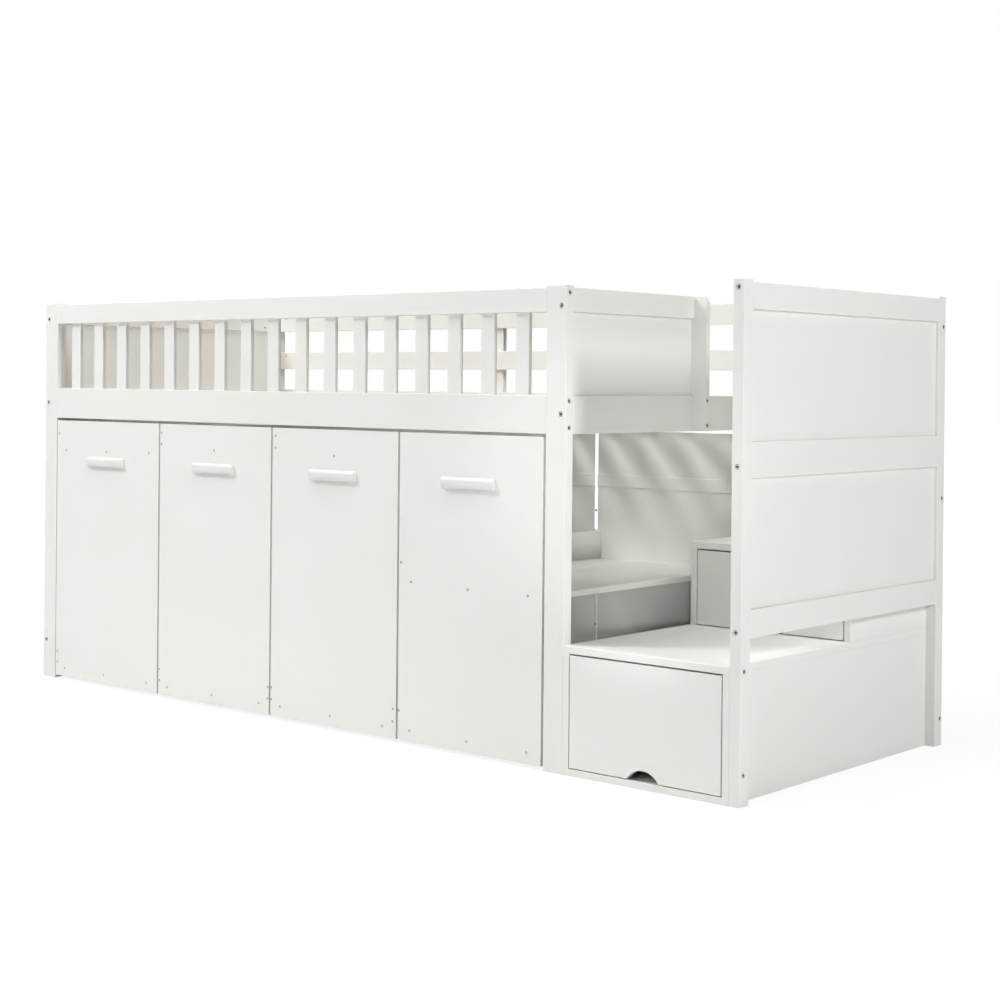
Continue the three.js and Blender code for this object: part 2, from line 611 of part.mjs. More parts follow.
function wheelPair(wheelsAt, y) {
  const start = (x) => new THREE.Vector3(x, y, WHEEL_RADIUS);
  const left = around(wheelsAt[0], WHEEL_WIDTH);
  const right = around(wheelsAt[1], WHEEL_WIDTH);
  return [
    bar(start(left[0]), RIGHT, WHEEL_RADIUS, WHEEL_WIDTH, WHEEL_SIDES),
    bar(start(right[0]), RIGHT, WHEEL_RADIUS, WHEEL_WIDTH, WHEEL_SIDES),
    bar(start(left[0]), RIGHT, AXLE_RADIUS, right[1] - left[0], AXLE_SIDES),
  ];
}

// Roll-out units. Each has a tall front, a base board with low sides and a full-height back, and
// is open on its right. What it holds makes it a desk, a wardrobe or a shelf unit.
const frontRise = [FRONT_FLOOR_GAP, deckRail[0] - FRONT_TOP_GAP];
const carcassDepth = [FRONT_THICKNESS, CARCASS_REAR - CARCASS_BOARD];
const carcassBack = upTo(CARCASS_REAR, CARCASS_BOARD);
const axles = inset(carcassDepth, WHEEL_INSET_Y);
const backRise = [CARCASS_BASE, frontRise[1] - BACK_TOP_DROP];

const units = [
  { name: "desk", base: deckRail[0] - DESK_TOP_DROP },
  { name: "wardrobe_a", rightSide: true },
  { name: "wardrobe_b", rightSide: true },
  { name: "shelf_unit", base: SHELF_BASE },
];
const fullWidth = length(bedOpening) - FRONT_SIDE_GAP - LAST_SIDE_GAP;
const frontsWidth = fullWidth - FRONT_GAP * (units.length - 1);

function rollOutUnit(unit, start, width) {
  const group = new THREE.Group();
  group.position.set(start, 0, 0);
  bed.add(group);
  const { name } = unit;
  const across = [0, width];
  piece(group, `${name}_front`, painted, [board(across, from(0, FRONT_THICKNESS), frontRise)]);
  const grip = handleShell(width / 2, frontRise[1] - HANDLE_DROP);
  piece(group, `${name}_handle`, plastic, [grip]);

  const outer = inset(across, CARCASS_INSET);
  const leftBoard = from(outer[0], CARCASS_BOARD);
  const rightBoard = upTo(outer[1], CARCASS_BOARD);
  const sideDepth = [carcassDepth[0], carcassDepth[1] + LET_IN];
  const lowSide = from(CARCASS_BASE, LOW_SIDE_HEIGHT);
  const wheelsAt = inset(outer, WHEEL_INSET_X);
  const blocksAt = inset(wheelsAt, (WHEEL_WIDTH + BEARING_BLOCK_WIDTH) / 2 + WHEEL_SIDE_PLAY);
  const cleatDepth = [carcassBack[0] - CLEAT_THICKNESS, carcassBack[0] + LET_IN];
  const boards = [
    board(outer, sideDepth, from(CARCASS_BASE, CARCASS_BOARD)),
    board(leftBoard, sideDepth, lowSide),
    board(outer, carcassBack, backRise),
    board(outer, cleatDepth, upTo(deckRail[0] - CLEAT_DROP, CLEAT_HEIGHT)),
    ...axles.flatMap((y) => blocksAt.map((x) => bearingBlock(x, y))),
  ];
  if (unit.rightSide) {
    boards.push(board(rightBoard, sideDepth, lowSide));
    boards.push(board(leftBoard, sideDepth, upTo(backRise[1], LIP_HEIGHT)));
  }
  piece(group, `${name}_carcass`, painted, boards);

  if (unit.rightSide) {
    const rodStart = new THREE.Vector3(width / 2, carcassDepth[0], deckRail[0] - ROD_DROP);
    const rod = bar(rodStart, BACK, ROD_RADIUS, length(carcassDepth), WHEEL_SIDES);
    piece(group, `${name}_rod`, raw, [rod]);
  } else {
    const flat = from(unit.base, CARCASS_BOARD);
    piece(group, `${name}_board`, painted, [
      board(outer, carcassDepth, flat),
      board(leftBoard, carcassDepth, [flat[0], flat[1] + LIP_HEIGHT]),
    ]);
  }

  ["front", "rear"].forEach((row, i) => {
    piece(group, `${name}_${row}_wheels`, wheelPlastic, wheelPair(wheelsAt, axles[i]));
  });
}

let unitStart = bedOpening[0] + FRONT_SIDE_GAP;
units.forEach((unit, i) => {
  const width = frontsWidth * FRONT_WIDTH_SHARES[i];
  rollOutUnit(unit, unitStart, width);
  unitStart += width + FRONT_GAP;
});

const part = new THREE.Group();
part.add(bed);
export default part;
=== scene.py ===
"""A white low loft bed with stairs of drawers and four roll-out units, piece by piece."""
import math

import bmesh
import bpy
from mathutils import Euler, Matrix, Vector


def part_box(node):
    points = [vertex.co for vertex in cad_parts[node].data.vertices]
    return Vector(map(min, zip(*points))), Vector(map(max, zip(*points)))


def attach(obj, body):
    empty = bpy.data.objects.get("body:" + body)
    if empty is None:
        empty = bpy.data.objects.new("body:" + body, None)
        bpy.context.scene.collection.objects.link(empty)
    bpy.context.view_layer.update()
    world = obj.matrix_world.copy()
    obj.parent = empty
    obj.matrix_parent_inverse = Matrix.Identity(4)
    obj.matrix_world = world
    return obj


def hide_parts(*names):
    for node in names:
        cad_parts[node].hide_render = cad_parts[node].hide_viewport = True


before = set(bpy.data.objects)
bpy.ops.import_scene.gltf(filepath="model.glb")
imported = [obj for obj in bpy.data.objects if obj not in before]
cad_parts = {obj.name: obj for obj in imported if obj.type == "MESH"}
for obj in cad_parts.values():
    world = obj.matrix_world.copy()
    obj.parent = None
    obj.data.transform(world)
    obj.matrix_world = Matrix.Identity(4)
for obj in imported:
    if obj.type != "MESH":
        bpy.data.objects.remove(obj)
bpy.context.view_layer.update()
scene = bpy.context.scene
MM = 0.001


# Camera: a long lens at about eye level, off the corner where the stairs are. Its axis is level
# and the film is shifted, so that the posts stay upright.
lens = bpy.data.cameras.new("camera")
lens.lens = 64.66
lens.shift_x = 0.0397
lens.shift_y = -0.1072
lens.clip_end = 60
camera = bpy.data.objects.new("camera", lens)
camera.location = (3.4239, -3.8456, 0.9302)
camera.rotation_euler = Euler([math.radians(angle) for angle in (89.765, -0.543, 41.39)])
scene.collection.objects.link(camera)
scene.camera = camera
scene.view_settings.view_transform = "Standard"
scene.view_settings.look = "None"


# Posts: planed pine, four flat ones for the bed and two for the big end frame beyond the stairs.
# They are drilled for the bolts, their long arrises are rounded over with a router, and then they
# are sprayed white, so that the grain shows only as a faint relief in the satin lacquer.
class Wire:
    """One socket of a node tree that can be added, multiplied and so on."""

    def __init__(self, tree, value):
        self.tree = tree
        self.value = value

    def sum_of(self, operation, *others):
        return self.tree.add("ShaderNodeMath", {"operation": operation}, [self, *others])

    def __add__(self, other):
        return self.sum_of("ADD", other)

    def __sub__(self, other):
        return self.sum_of("SUBTRACT", other)

    def __mul__(self, other):
        return self.sum_of("MULTIPLY", other)

    def __rsub__(self, other):
        return Wire(self.tree, other).sum_of("SUBTRACT", self)

    def __lt__(self, other):
        return self.sum_of("LESS_THAN", other)

    def span(self, low, high, to_low=0.0, to_high=1.0):
        """This number, eased from one range into another."""
        values = {"Value": self, "From Min": low, "From Max": high}
        values |= {"To Min": to_low, "To Max": to_high}
        return self.tree.add("ShaderNodeMapRange", {"interpolation_type": "SMOOTHSTEP"}, values)


class Tree:
    """A node tree, of a material or of geometry, that is written as sums of wires."""

    def __init__(self, tree):
        self.tree = tree

    def connect(self, socket, value):
        """Leads a wire into a socket, or sets the socket itself to a plain value."""
        if isinstance(value, Wire):
            value = value.value
        if isinstance(value, bpy.types.NodeSocket):
            self.tree.links.new(value, socket)
        else:
            socket.default_value = value

    def add(self, kind, settings=None, values=None, out=0):
        """A node with its settings and inputs, given as the wire that leaves it."""
        node = self.tree.nodes.new(kind)
        for key, setting in (settings or {}).items():
            setattr(node, key, setting)
        pairs = enumerate(values) if isinstance(values, list) else (values or {}).items()
        for key, value in pairs:
            self.connect(node.inputs[key], value)
        return Wire(self, node.outputs[out])


class Finish(Tree):
    """A surface: its material, and the patterns that its shader takes."""

    def __init__(self, name):
        self.material = bpy.data.materials.new(name)
        self.material.use_nodes = True
        super().__init__(self.material.node_tree)
        self.shader = self.tree.nodes["Principled BSDF"]

    def place(self, stretch=(1, 1, 1)):
        """Object coordinates, stretched along the grain."""
        spot = self.add("ShaderNodeTexCoord", out="Object")
        return self.add("ShaderNodeMapping", values={"Vector": spot, "Scale": stretch})

    def noise(self, where, scale, detail=2.0, roughness=0.5, distortion=0.0):
        """Clouds, with about as many to the metre as the scale says."""
        values = {"Vector": where, "Scale": scale, "Detail": detail}
        values |= {"Roughness": roughness, "Distortion": distortion}
        return self.add("ShaderNodeTexNoise", values=values)

    def cells(self, where, scale):
        """Distance to the nearest of scattered spots, so many to the metre."""
        return self.add("ShaderNodeTexVoronoi", values={"Vector": where, "Scale": scale})

    def blend(self, share, first, second):
        """A colour between two; a share of 0 gives the first."""
        values = {0: share, 6: first, 7: second}
        return self.add("ShaderNodeMix", {"data_type": "RGBA"}, values, out=2)

    def bump(self, height, depth):
        """A relief that is as deep, in metres, where the height is 1."""
        return self.add("ShaderNodeBump", values={"Height": height, "Distance": depth})

    def attribute(self, name):
        """A number that the mesh itself carries, such as where a painted highlight or painted
        shade goes.
        """
        return self.add("ShaderNodeAttribute", {"attribute_name": name}, out="Fac")

    def finish(self, **sockets):
        """Fills the shader's sockets by name, and gives the material."""
        for key, value in sockets.items():
            name = key.replace("_", " ").title().replace("Ior", "IOR")
            self.connect(self.shader.inputs[name], value)
        return self.material


LACQUER = (0.835, 0.84, 0.812, 1)
LACQUER_THICK = (0.80, 0.802, 0.77, 1)
LACQUER_HIGHLIGHT = (0.875, 0.878, 0.86, 1)
LACQUER_RELIEF = 0.07 * MM
GRAIN_STRETCH = {"x": (0.035, 1, 1), "y": (1, 0.035, 1), "z": (1, 1, 0.035)}


def satin_lacquer(name, grain=None):
    """White lacquer: orange peel and dust nibs, and over solid wood the grain's faint relief."""
    paint = Finish(name)
    plain = paint.place()
    cloud = paint.noise(plain, 2.3, detail=3).span(0.3, 0.7)
    peel = paint.noise(plain, 420, detail=1)
    speck = paint.noise(plain, 46, detail=4, roughness=0.6)
    nib = paint.cells(plain, 38).span(0.02, 0.07, 1.0, 0.0)
    worn = paint.attribute("worn")
    tone = cloud * 0.35 + speck * 0.2
    relief = peel * 0.3 + speck * 0.3 + nib * 0.35
    if grain:
        streak = paint.noise(paint.place(GRAIN_STRETCH[grain]), 210, detail=3, roughness=0.62)
        tone = tone + streak.span(0.35, 0.75) * 0.3
        relief = relief + streak * 0.9
    coat = paint.blend(tone, LACQUER, LACQUER_THICK)
    # The eased arrises carry a painted highlight: a lighter and slightly glossier lacquer.
    return paint.finish(
        base_color=paint.blend(worn * 0.75, coat, LACQUER_HIGHLIGHT),
        roughness=speck.span(0.3, 0.75, 0.38, 0.48) - worn * 0.08,
        specular_ior_level=0.4,
        normal=paint.bump(relief, LACQUER_RELIEF),
    )


lacquer_over = {axis: satin_lacquer(f"satin_lacquer_grain_{axis}", axis) for axis in "xyz"}

ARRIS = 1.3 * MM
ARRIS_STEPS = 3
SHARP = math.radians(40)
COPLANAR = math.radians(1)
MERGE = 0.01 * MM
DRILLED = 9 * MM  # shorter edges are the rims of drilled holes, which stay crisp


def smooth(piece):
    """Smooth shading that keeps the flats flat."""
    for face in piece.data.polygons:
        face.use_smooth = True
    piece.data.set_sharp_from_angle(angle=SHARP)
    flats = piece.modifiers.new("flats", "WEIGHTED_NORMAL")
    flats.keep_sharp = True
    flats.weight = 100


def hand_over(piece, body, nodes=()):
    """The piece, smoothed, rides on its body and stands for its solids."""
    smooth(piece)
    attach(piece, body)
    if nodes:
        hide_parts(*nodes)
    return piece


def as_piece(name, mesh, material):
    """An object of a mesh, at the origin, in one material."""
    data = bpy.data.meshes.new(name)
    mesh.to_mesh(data)
    mesh.free()
    data.materials.append(material)
    piece = bpy.data.objects.new(name, data)
    scene.collection.objects.link(piece)
    return piece


def solid_of(node):
    """A solid's own mesh, merged, with its flats in one piece each."""
    mesh = bmesh.new()
    mesh.from_mesh(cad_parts[node].data)
    bmesh.ops.remove_doubles(mesh, verts=mesh.verts, dist=MERGE)
    bmesh.ops.dissolve_limit(mesh, angle_limit=COPLANAR, verts=mesh.verts, edges=mesh.edges)
    return mesh


def ease(mesh, arris, shortest, chosen=None):
    """Rounds the long outer arrises, and marks them for a painted highlight in the lacquer."""
    edges = []
    for edge in mesh.edges:
        outer = edge.is_manifold and edge.is_convex and edge.calc_face_angle() > SHARP
        if outer and edge.calc_length() > shortest and (not chosen or chosen(edge)):
            edges.append(edge)
    worn = mesh.faces.layers.float.new("worn")
    made = bmesh.ops.bevel(
        mesh,
        geom=edges,
        offset=arris,
        segments=ARRIS_STEPS,
        profile=0.5,
        affect="EDGES",
        clamp_overlap=False,
    )
    for face in made["faces"]:
        face[worn] = 1.0


def eased_board(
    node, body, material, arris=ARRIS, shortest=DRILLED, slot="white_paint", trim=None
):
    """A board: the shape of its solid, trimmed and eased, in its finish."""
    mesh = solid_of(node)
    if trim:
        trim(mesh)
    ease(mesh, arris, shortest)
    return hand_over(as_piece(f"{node}_eased", mesh, material), body, [node])


for post in (
    "post_front_left",
    "post_front_middle",
    "post_rear_left",
    "post_rear_middle",
    "frame_post_front",
    "frame_post_rear",
):
    eased_board(post, "bed_frame", lacquer_over["z"])


# Rails: planed pine with the grain along them, bolted between the posts into barrel nuts. The two
# long deck rails carry the sleeping level; the short ones close the two ends and the end frame.
for rail in ("front_deck_rail", "rear_deck_rail"):
    eased_board(rail, "bed_frame", lacquer_over["x"])
for rail in (
    "left_top_rail",
    "left_deck_rail",
    "left_low_rail",
    "inner_top_rail",
    "inner_deck_rail",
    "frame_top_rail",
    "frame_mid_rail",
    "frame_low_rail",
):
    eased_board(rail, "bed_frame", lacquer_over["y"])


# Front guard: a pine top rail with seventeen flat slats glued into it, standing on the deck rail.
# The slats are one moulded section cut to length, so their long arrises have one small round.
class Jig(Tree):
    """A geometry tree with named inputs, and the plain mesh that it gives."""

    SOCKETS = {
        int: "Int",
        float: "Float",
        Vector: "Vector",
        bpy.types.Object: "Object",
        bpy.types.Material: "Material",
    }

    def __init__(self, name, **inputs):
        group = bpy.data.node_groups.new(name, "GeometryNodeTree")
        group.is_modifier = True
        super().__init__(group)
        group.interface.new_socket("Geometry", in_out="INPUT", socket_type="NodeSocketGeometry")
        group.interface.new_socket("Geometry", in_out="OUTPUT", socket_type="NodeSocketGeometry")
        self.ports = {}
        for key, sort in (inputs | {"material": bpy.types.Material}).items():
            kind = f"NodeSocket{self.SOCKETS[sort]}"
            socket = group.interface.new_socket(key, in_out="INPUT", socket_type=kind)
            self.ports[key] = socket.identifier
        self.entry = group.nodes.new("NodeGroupInput")
        self.exit = group.nodes.new("NodeGroupOutput")

    def given(self, key):
        return Wire(self, self.entry.outputs[key])

    def close(self, geometry):
        real = self.add("GeometryNodeRealizeInstances", values=[geometry])
        values = {"Geometry": real, "Material": self.given("material")}
        self.connect(self.exit.inputs[0], self.add("GeometryNodeSetMaterial", values=values))

    def make(self, name, start=None, **values):
        """Runs the tree on a mesh, and gives the piece that it makes."""
        blank = bpy.data.objects.new("blank", start or bpy.data.meshes.new("blank"))
        scene.collection.objects.link(blank)
        modifier = blank.modifiers.new("jig", "NODES")
        modifier.node_group = self.tree
        for key, value in values.items():
            modifier[self.ports[key]] = value
        bpy.context.view_layer.update()
        graph = bpy.context.evaluated_depsgraph_get()
        data = bpy.data.meshes.new_from_object(
            blank.evaluated_get(graph), preserve_all_data_layers=True, depsgraph=graph
        )
        blank.modifiers.remove(modifier)
        bpy.data.objects.remove(blank)
        mesh = bmesh.new()
        mesh.from_mesh(data)
        bmesh.ops.recalc_face_normals(mesh, faces=mesh.faces)
        mesh.to_mesh(data)
        mesh.free()
        data.name = name
        piece = bpy.data.objects.new(name, data)
        scene.collection.objects.link(piece)
        return piece


FLAT = 0.98  # a face whose normal scores less is no flat of a bar but its eased arris


def bar_row():
    """A row of equal bars with rounded long arrises, each reaching the same way."""
    sizes = {"count": int, "first": Vector, "pitch": Vector, "reach": Vector}
    row = Jig("bar_row", **sizes, width=float, thickness=float, arris=float, arris_steps=int)
    section = row.add(
        "GeometryNodeCurvePrimitiveQuadrilateral",
        {"mode": "RECTANGLE"},
        {"Width": row.given("width"), "Height": row.given("thickness")},
    )
    values = {"Count": row.given("arris_steps"), "Radius": row.given("arris")}
    values["Curve"] = section
    rounded = row.add("GeometryNodeFilletCurve", {"mode": "POLY"}, values)
    line = row.add("GeometryNodeCurvePrimitiveLine", values={"End": row.given("reach")})
    values = {"Curve": line, "Profile Curve": rounded, "Fill Caps": True}
    bar = row.add("GeometryNodeCurveToMesh", values=values)
    facing = row.add("GeometryNodeInputNormal")
    squares = row.add("ShaderNodeVectorMath", {"operation": "MULTIPLY"}, [facing, facing])
    dot = {"operation": "DOT_PRODUCT"}
    evenness = row.add("ShaderNodeVectorMath", dot, [squares, squares], out="Value")
    # The eased arrises are marked for the lacquer's painted highlight.
    marked = row.add(
        "GeometryNodeStoreNamedAttribute",
        {"data_type": "FLOAT", "domain": "FACE"},
        {"Geometry": bar, "Name": "worn", "Value": evenness < FLAT},
    )
    places = row.add(
        "GeometryNodeMeshLine",
        {"mode": "OFFSET"},
        {
            "Count": row.given("count"),
            "Start Location": row.given("first"),
            "Offset": row.given("pitch"),
        },
    )
    row.close(row.add("GeometryNodeInstanceOnPoints", values={0: places, "Instance": marked}))
    return row


bars = bar_row()
GUARD_SLATS = 17
GUARD_SLAT = Vector((42, 12)) * MM
GUARD_SLAT_ARRIS = 1.2 * MM
GUARD_END_GAP = 61.5 * MM
GUARD_RAIL_BASE = 1103 * MM
GUARD_SLAT_MIDDLE = -459 * MM
GUARD_TENON = 4 * MM

guard_low, guard_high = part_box("front_guard")
guard_rail = solid_of("front_guard")
below = [vert for vert in guard_rail.verts if vert.co.z < GUARD_RAIL_BASE - MERGE]
bmesh.ops.delete(guard_rail, geom=below, context="VERTS")
rims = [edge for edge in guard_rail.edges if edge.is_boundary]
bmesh.ops.holes_fill(guard_rail, edges=rims, sides=0)
bmesh.ops.dissolve_limit(
    guard_rail, angle_limit=COPLANAR, verts=guard_rail.verts, edges=guard_rail.edges
)
ease(guard_rail, ARRIS, DRILLED)
guard_top = as_piece("guard_top_rail", guard_rail, lacquer_over["x"])
hand_over(guard_top, "bed_frame", ["front_guard"])

guard_first = guard_low.x + GUARD_END_GAP + GUARD_SLAT.x / 2
guard_last = guard_high.x - GUARD_END_GAP - GUARD_SLAT.x / 2
guard_slats = bars.make(
    "guard_slats",
    count=GUARD_SLATS,
    first=(guard_first, GUARD_SLAT_MIDDLE, guard_low.z - GUARD_TENON),
    pitch=((guard_last - guard_first) / (GUARD_SLATS - 1), 0.0, 0.0),
    reach=(0.0, 0.0, GUARD_RAIL_BASE - guard_low.z + 2 * GUARD_TENON),
    width=GUARD_SLAT.x,
    thickness=GUARD_SLAT.y,
    arris=GUARD_SLAT_ARRIS,
    arris_steps=ARRIS_STEPS,
    material=lacquer_over["z"],
)
hand_over(guard_slats, "bed_frame", ["front_guard"])


# Rear guard and stair guard: two boards along the wall side with a stile behind them, and beyond
# the bed a framed panel that closes the stairs. Pine, screwed and bolted from outside.
eased_board("rear_guard", "bed_frame", lacquer_over["x"])
eased_board("stair_back_guard", "bed_frame", lacquer_over["x"])


# Grab stile: the upright beside the stairs that one holds on to, a wide thin board whose outer
# top corner is rounded. The two bolts in its edge leave little wood, so its arrises stay small.
GRAB_ARRIS = 1 * MM
grab_low, grab_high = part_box("grab_stile")


def on_broad_faces(edge):
    """If an edge runs in the stile's front or rear face, and is no rim of a bolt's hole."""
    for depth in (grab_low.y, grab_high.y):
        if all(abs(vert.co.y - depth) < MERGE for vert in edge.verts):
            return True
    return False


grab = solid_of("grab_stile")
ease(grab, GRAB_ARRIS, 0, on_broad_faces)
grab_piece = as_piece("grab_stile_eased", grab, lacquer_over["z"])
hand_over(grab_piece, "bed_frame", ["grab_stile"])


# End panels: fibreboard sheets let into the rails and posts of both bed ends and of the end frame,
# a little deeper than the rails' faces. Board has no grain, so the lacquer shows only orange peel.
lacquer_on_board = satin_lacquer("satin_lacquer_board")
PANEL_ARRIS = 0.8 * MM
PANEL_SUNK = 2 * MM


def thinner(mesh):
    """Sets both faces of a panel deeper, so that the rails throw a line of shadow on it."""
    middle = sum(vert.co.x for vert in mesh.verts) / len(mesh.verts)
    for vert in mesh.verts:
        vert.co.x += PANEL_SUNK if vert.co.x < middle else -PANEL_SUNK


for panel in (
    "left_upper_panel",
    "left_lower_panel",
    "inner_end_panel",
    "frame_upper_panel",
    "frame_lower_panel",
):
    eased_board(panel, "bed_frame", lacquer_on_board, arris=PANEL_ARRIS, trim=thinner)


# Deck: fifteen raw pine slats lie on two raw pine ledgers, held at an even pitch by two straps of
# woven webbing that are stapled on top of each slat. The roll is laid in, not fastened.
SAPWOOD = (0.74, 0.66, 0.54, 1)
LATEWOOD = (0.58, 0.46, 0.32, 1)
KNOT = (0.21, 0.10, 0.045, 1)
PINE_RELIEF = 0.16 * MM
PINE_STRETCH = {"x": (0.05, 1, 1), "y": (1, 0.05, 1)}


def raw_pine(name, grain):
    """Bare planed pine: pale wood with darker late-wood lines, fine fibres and a few knots."""
    wood = Finish(name)
    where = wood.place(PINE_STRETCH[grain])
    slow = wood.noise(where, 13, detail=2, roughness=0.45, distortion=0.4)
    ring = (slow * 150).sum_of("SINE").span(0.1, 1.0)
    fibre = wood.noise(where, 900, detail=3, roughness=0.7)
    tint = wood.noise(wood.place(), 3.1, detail=2).span(0.3, 0.7)
    knot = wood.cells(wood.place([0.45 + 0.55 * side for side in PINE_STRETCH[grain]]), 4.2)
    knot = knot.span(0.05, 0.13, 1.0, 0.0)
    pale = wood.blend(tint * 0.3 + fibre * 0.35, SAPWOOD, LATEWOOD)
    lined = wood.blend(ring * 0.6, pale, LATEWOOD)
    return wood.finish(
        base_color=wood.blend(knot * 0.85, lined, KNOT),
        roughness=fibre.span(0.3, 0.8, 0.52, 0.74) - knot * 0.12,
        specular_ior_level=0.3,
        normal=wood.bump(fibre * 0.8 + ring * 0.6 + knot * 0.5, PINE_RELIEF),
    )


pine_along = {axis: raw_pine(f"raw_pine_grain_{axis}", axis) for axis in "xy"}
for ledger in ("ledger_front", "ledger_rear"):
    eased_board(ledger, "bed_frame", pine_along["x"], slot="raw_pine")

DECK_SLATS = 15
DECK_SLAT = Vector((68, 18)) * MM
DECK_SLAT_ARRIS = 2.5 * MM
DECK_SLAT_ARRIS_STEPS = 4
deck_low, deck_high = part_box("slat_roll")
deck_first = deck_low.x + DECK_SLAT.x / 2
deck_last = deck_high.x - DECK_SLAT.x / 2
deck_pitch = (deck_last - deck_first) / (DECK_SLATS - 1)
slat_middle = deck_low.z + DECK_SLAT.y / 2
deck_slats = bars.make(
    "deck_slats",
    count=DECK_SLATS,
    first=(deck_first, deck_low.y, slat_middle),
    pitch=(deck_pitch, 0.0, 0.0),
    reach=(0.0, deck_high.y - deck_low.y, 0.0),
    width=DECK_SLAT.x,
    thickness=DECK_SLAT.y,
    arris=DECK_SLAT_ARRIS,
    arris_steps=DECK_SLAT_ARRIS_STEPS,
    material=pine_along["y"],
)
hand_over(deck_slats, "bed_frame", ["slat_roll"])

WEBBING_WHITE = (0.66, 0.66, 0.63, 1)
WEBBING_SHADE = (0.36, 0.35, 0.32, 1)
WEBBING_WIDTH = 25 * MM
WEBBING_THICKNESS = 1.0 * MM
WEBBING_FROM_END = 142.5 * MM
WEBBING_SAG = 3.5 * MM
SAG_SHARES = (0.12, 0.3, 0.5, 0.7, 0.88)
# Across a strap, in shares of half its width and of its thickness: the woven edges are rounded.
STRAP_SECTION = [(-1, 0.3), (-1, 0.7), (-0.96, 1), (0.96, 1)]
STRAP_SECTION += [(1, 0.7), (1, 0.3), (0.96, 0), (-0.96, 0)]
WEFT = 2.1 * MM
WARP = 1.3 * MM
WEAVE_RELIEF = 0.3 * MM

weave = Finish("woven_webbing")
spot = weave.place((math.tau / WEFT, math.tau / WARP, 1))
along = weave.add("ShaderNodeSeparateXYZ", values=[spot], out="X")
across = weave.add("ShaderNodeSeparateXYZ", values=[spot], out="Y")
cord = (along + across.sum_of("SINE") * 0.9).sum_of("SINE") * 0.5 + across.sum_of("COSINE") * 0.5
fuzz = weave.noise(weave.place(), 1400, detail=2)
weave.finish(
    base_color=weave.blend(cord.span(-0.9, 0.3, 0.75, 0.0), WEBBING_WHITE, WEBBING_SHADE),
    roughness=fuzz.span(0.2, 0.8, 0.6, 0.85),
    specular_ior_level=0.25,
    normal=weave.bump(cord * 0.8 + fuzz * 0.4, WEAVE_RELIEF),
)


def bridge(mesh, rings):
    """Skins a row of equal rings, and closes both ends."""
    corners = len(rings[0])
    for near, far in zip(rings, rings[1:]):
        for k in range(corners):
            n = (k + 1) % corners
            mesh.faces.new((near[k], near[n], far[n], far[k]))
    mesh.faces.new(rings[0])
    mesh.faces.new(rings[-1])
    bmesh.ops.remove_doubles(mesh, verts=mesh.verts, dist=MERGE)
    bmesh.ops.recalc_face_normals(mesh, faces=mesh.faces)
    return mesh


def webbing(middle):
    """One strap: it lies flat on each slat and hangs a little between two."""
    mesh = bmesh.new()
    half = WEBBING_WIDTH / 2
    low = deck_high.z - WEBBING_THICKNESS
    gap = deck_pitch - DECK_SLAT.x
    stations = []
    for slat in range(DECK_SLATS):
        left = deck_low.x + slat * deck_pitch
        right = left + DECK_SLAT.x
        stations += [(left, 0.0), (right, 0.0)]
        if slat < DECK_SLATS - 1:
            for share in SAG_SHARES:
                stations.append((right + share * gap, 4 * share * (1 - share) * WEBBING_SAG))
    rings = []
    for x, drop in stations:
        ring = []
        for side, rise in STRAP_SECTION:
            z = low - drop + rise * WEBBING_THICKNESS
            ring.append(mesh.verts.new((x, middle + side * half, z)))
        rings.append(ring)
    return bridge(mesh, rings)


strap_middles = {
    "front": deck_low.y + WEBBING_FROM_END,
    "rear": deck_high.y - WEBBING_FROM_END,
}
for side, middle in strap_middles.items():
    strap = as_piece(f"deck_webbing_{side}", webbing(middle), weave.material)
    hand_over(strap, "bed_frame", ["slat_roll"])


# Steps: two boxes of lacquered fibreboard, the upper standing on the lower, each with a tread
# glued on. Their corners are barely broken, so the joints show as hair lines.
STEP_ARRIS = 1.2 * MM
for step in ("lower", "upper"):
    for board in ("carcass", "tread"):
        eased_board(f"{step}_step_{board}", "bed_frame", lacquer_on_board, arris=STEP_ARRIS)


# Drawers: a flush fibreboard front with a finger cut-out at its foot, on an open box. The front is
# cut a little smaller than its opening, so that the joint around it shows dark.
DRAWER_ARRIS = 0.5 * MM
CUT_OUT_STEP = 2 * MM  # the facets of the cut-out's curve are longer, so it is eased as well
DRAWER_SIDES_OFF = 0.7 * MM
DRAWER_TOP_OFF = 1.5 * MM


def cut_smaller(sides, top=0.0):
    """The cut that takes a little off both upright edges of a front, and off its top."""

    def cut(mesh):
        left = min(vert.co.x for vert in mesh.verts)
        right = max(vert.co.x for vert in mesh.verts)
        crest = max(vert.co.z for vert in mesh.verts)
        for vert in mesh.verts:
            if vert.co.x < left + MERGE:
                vert.co.x += sides
            elif vert.co.x > right - MERGE:
                vert.co.x -= sides
            if vert.co.z > crest - MERGE:
                vert.co.z -= top

    return cut


for step in ("lower", "upper"):
    sizes = {"arris": DRAWER_ARRIS, "shortest": CUT_OUT_STEP}
    eased_board(f"{step}_drawer_box", f"{step}_drawer", lacquer_on_board, **sizes)
    sizes["trim"] = cut_smaller(DRAWER_SIDES_OFF, DRAWER_TOP_OFF)
    eased_board(f"{step}_drawer_front", f"{step}_drawer", lacquer_on_board, **sizes)


# Roll-out units: a tall flush front on a low carcass with a full back. The desk has its worktop
# and the last unit its shelf. All fibreboard, lacquered like the steps, with a dark joint of a few
# millimetres between two fronts.
UNITS = ("desk", "wardrobe_a", "wardrobe_b", "shelf_unit")
UNIT_BODY = {unit: unit if unit == "shelf_unit" else f"{unit}_unit" for unit in UNITS}
CLEAT_DEEP = 356 * MM
CLEAT_LOW = 600 * MM
CLEAT_FACE = 367.5 * MM
PLANED_FROM = (500 * MM, 506 * MM)  # the plane comes in between these heights
PLANED_OFF = 11.5 * MM


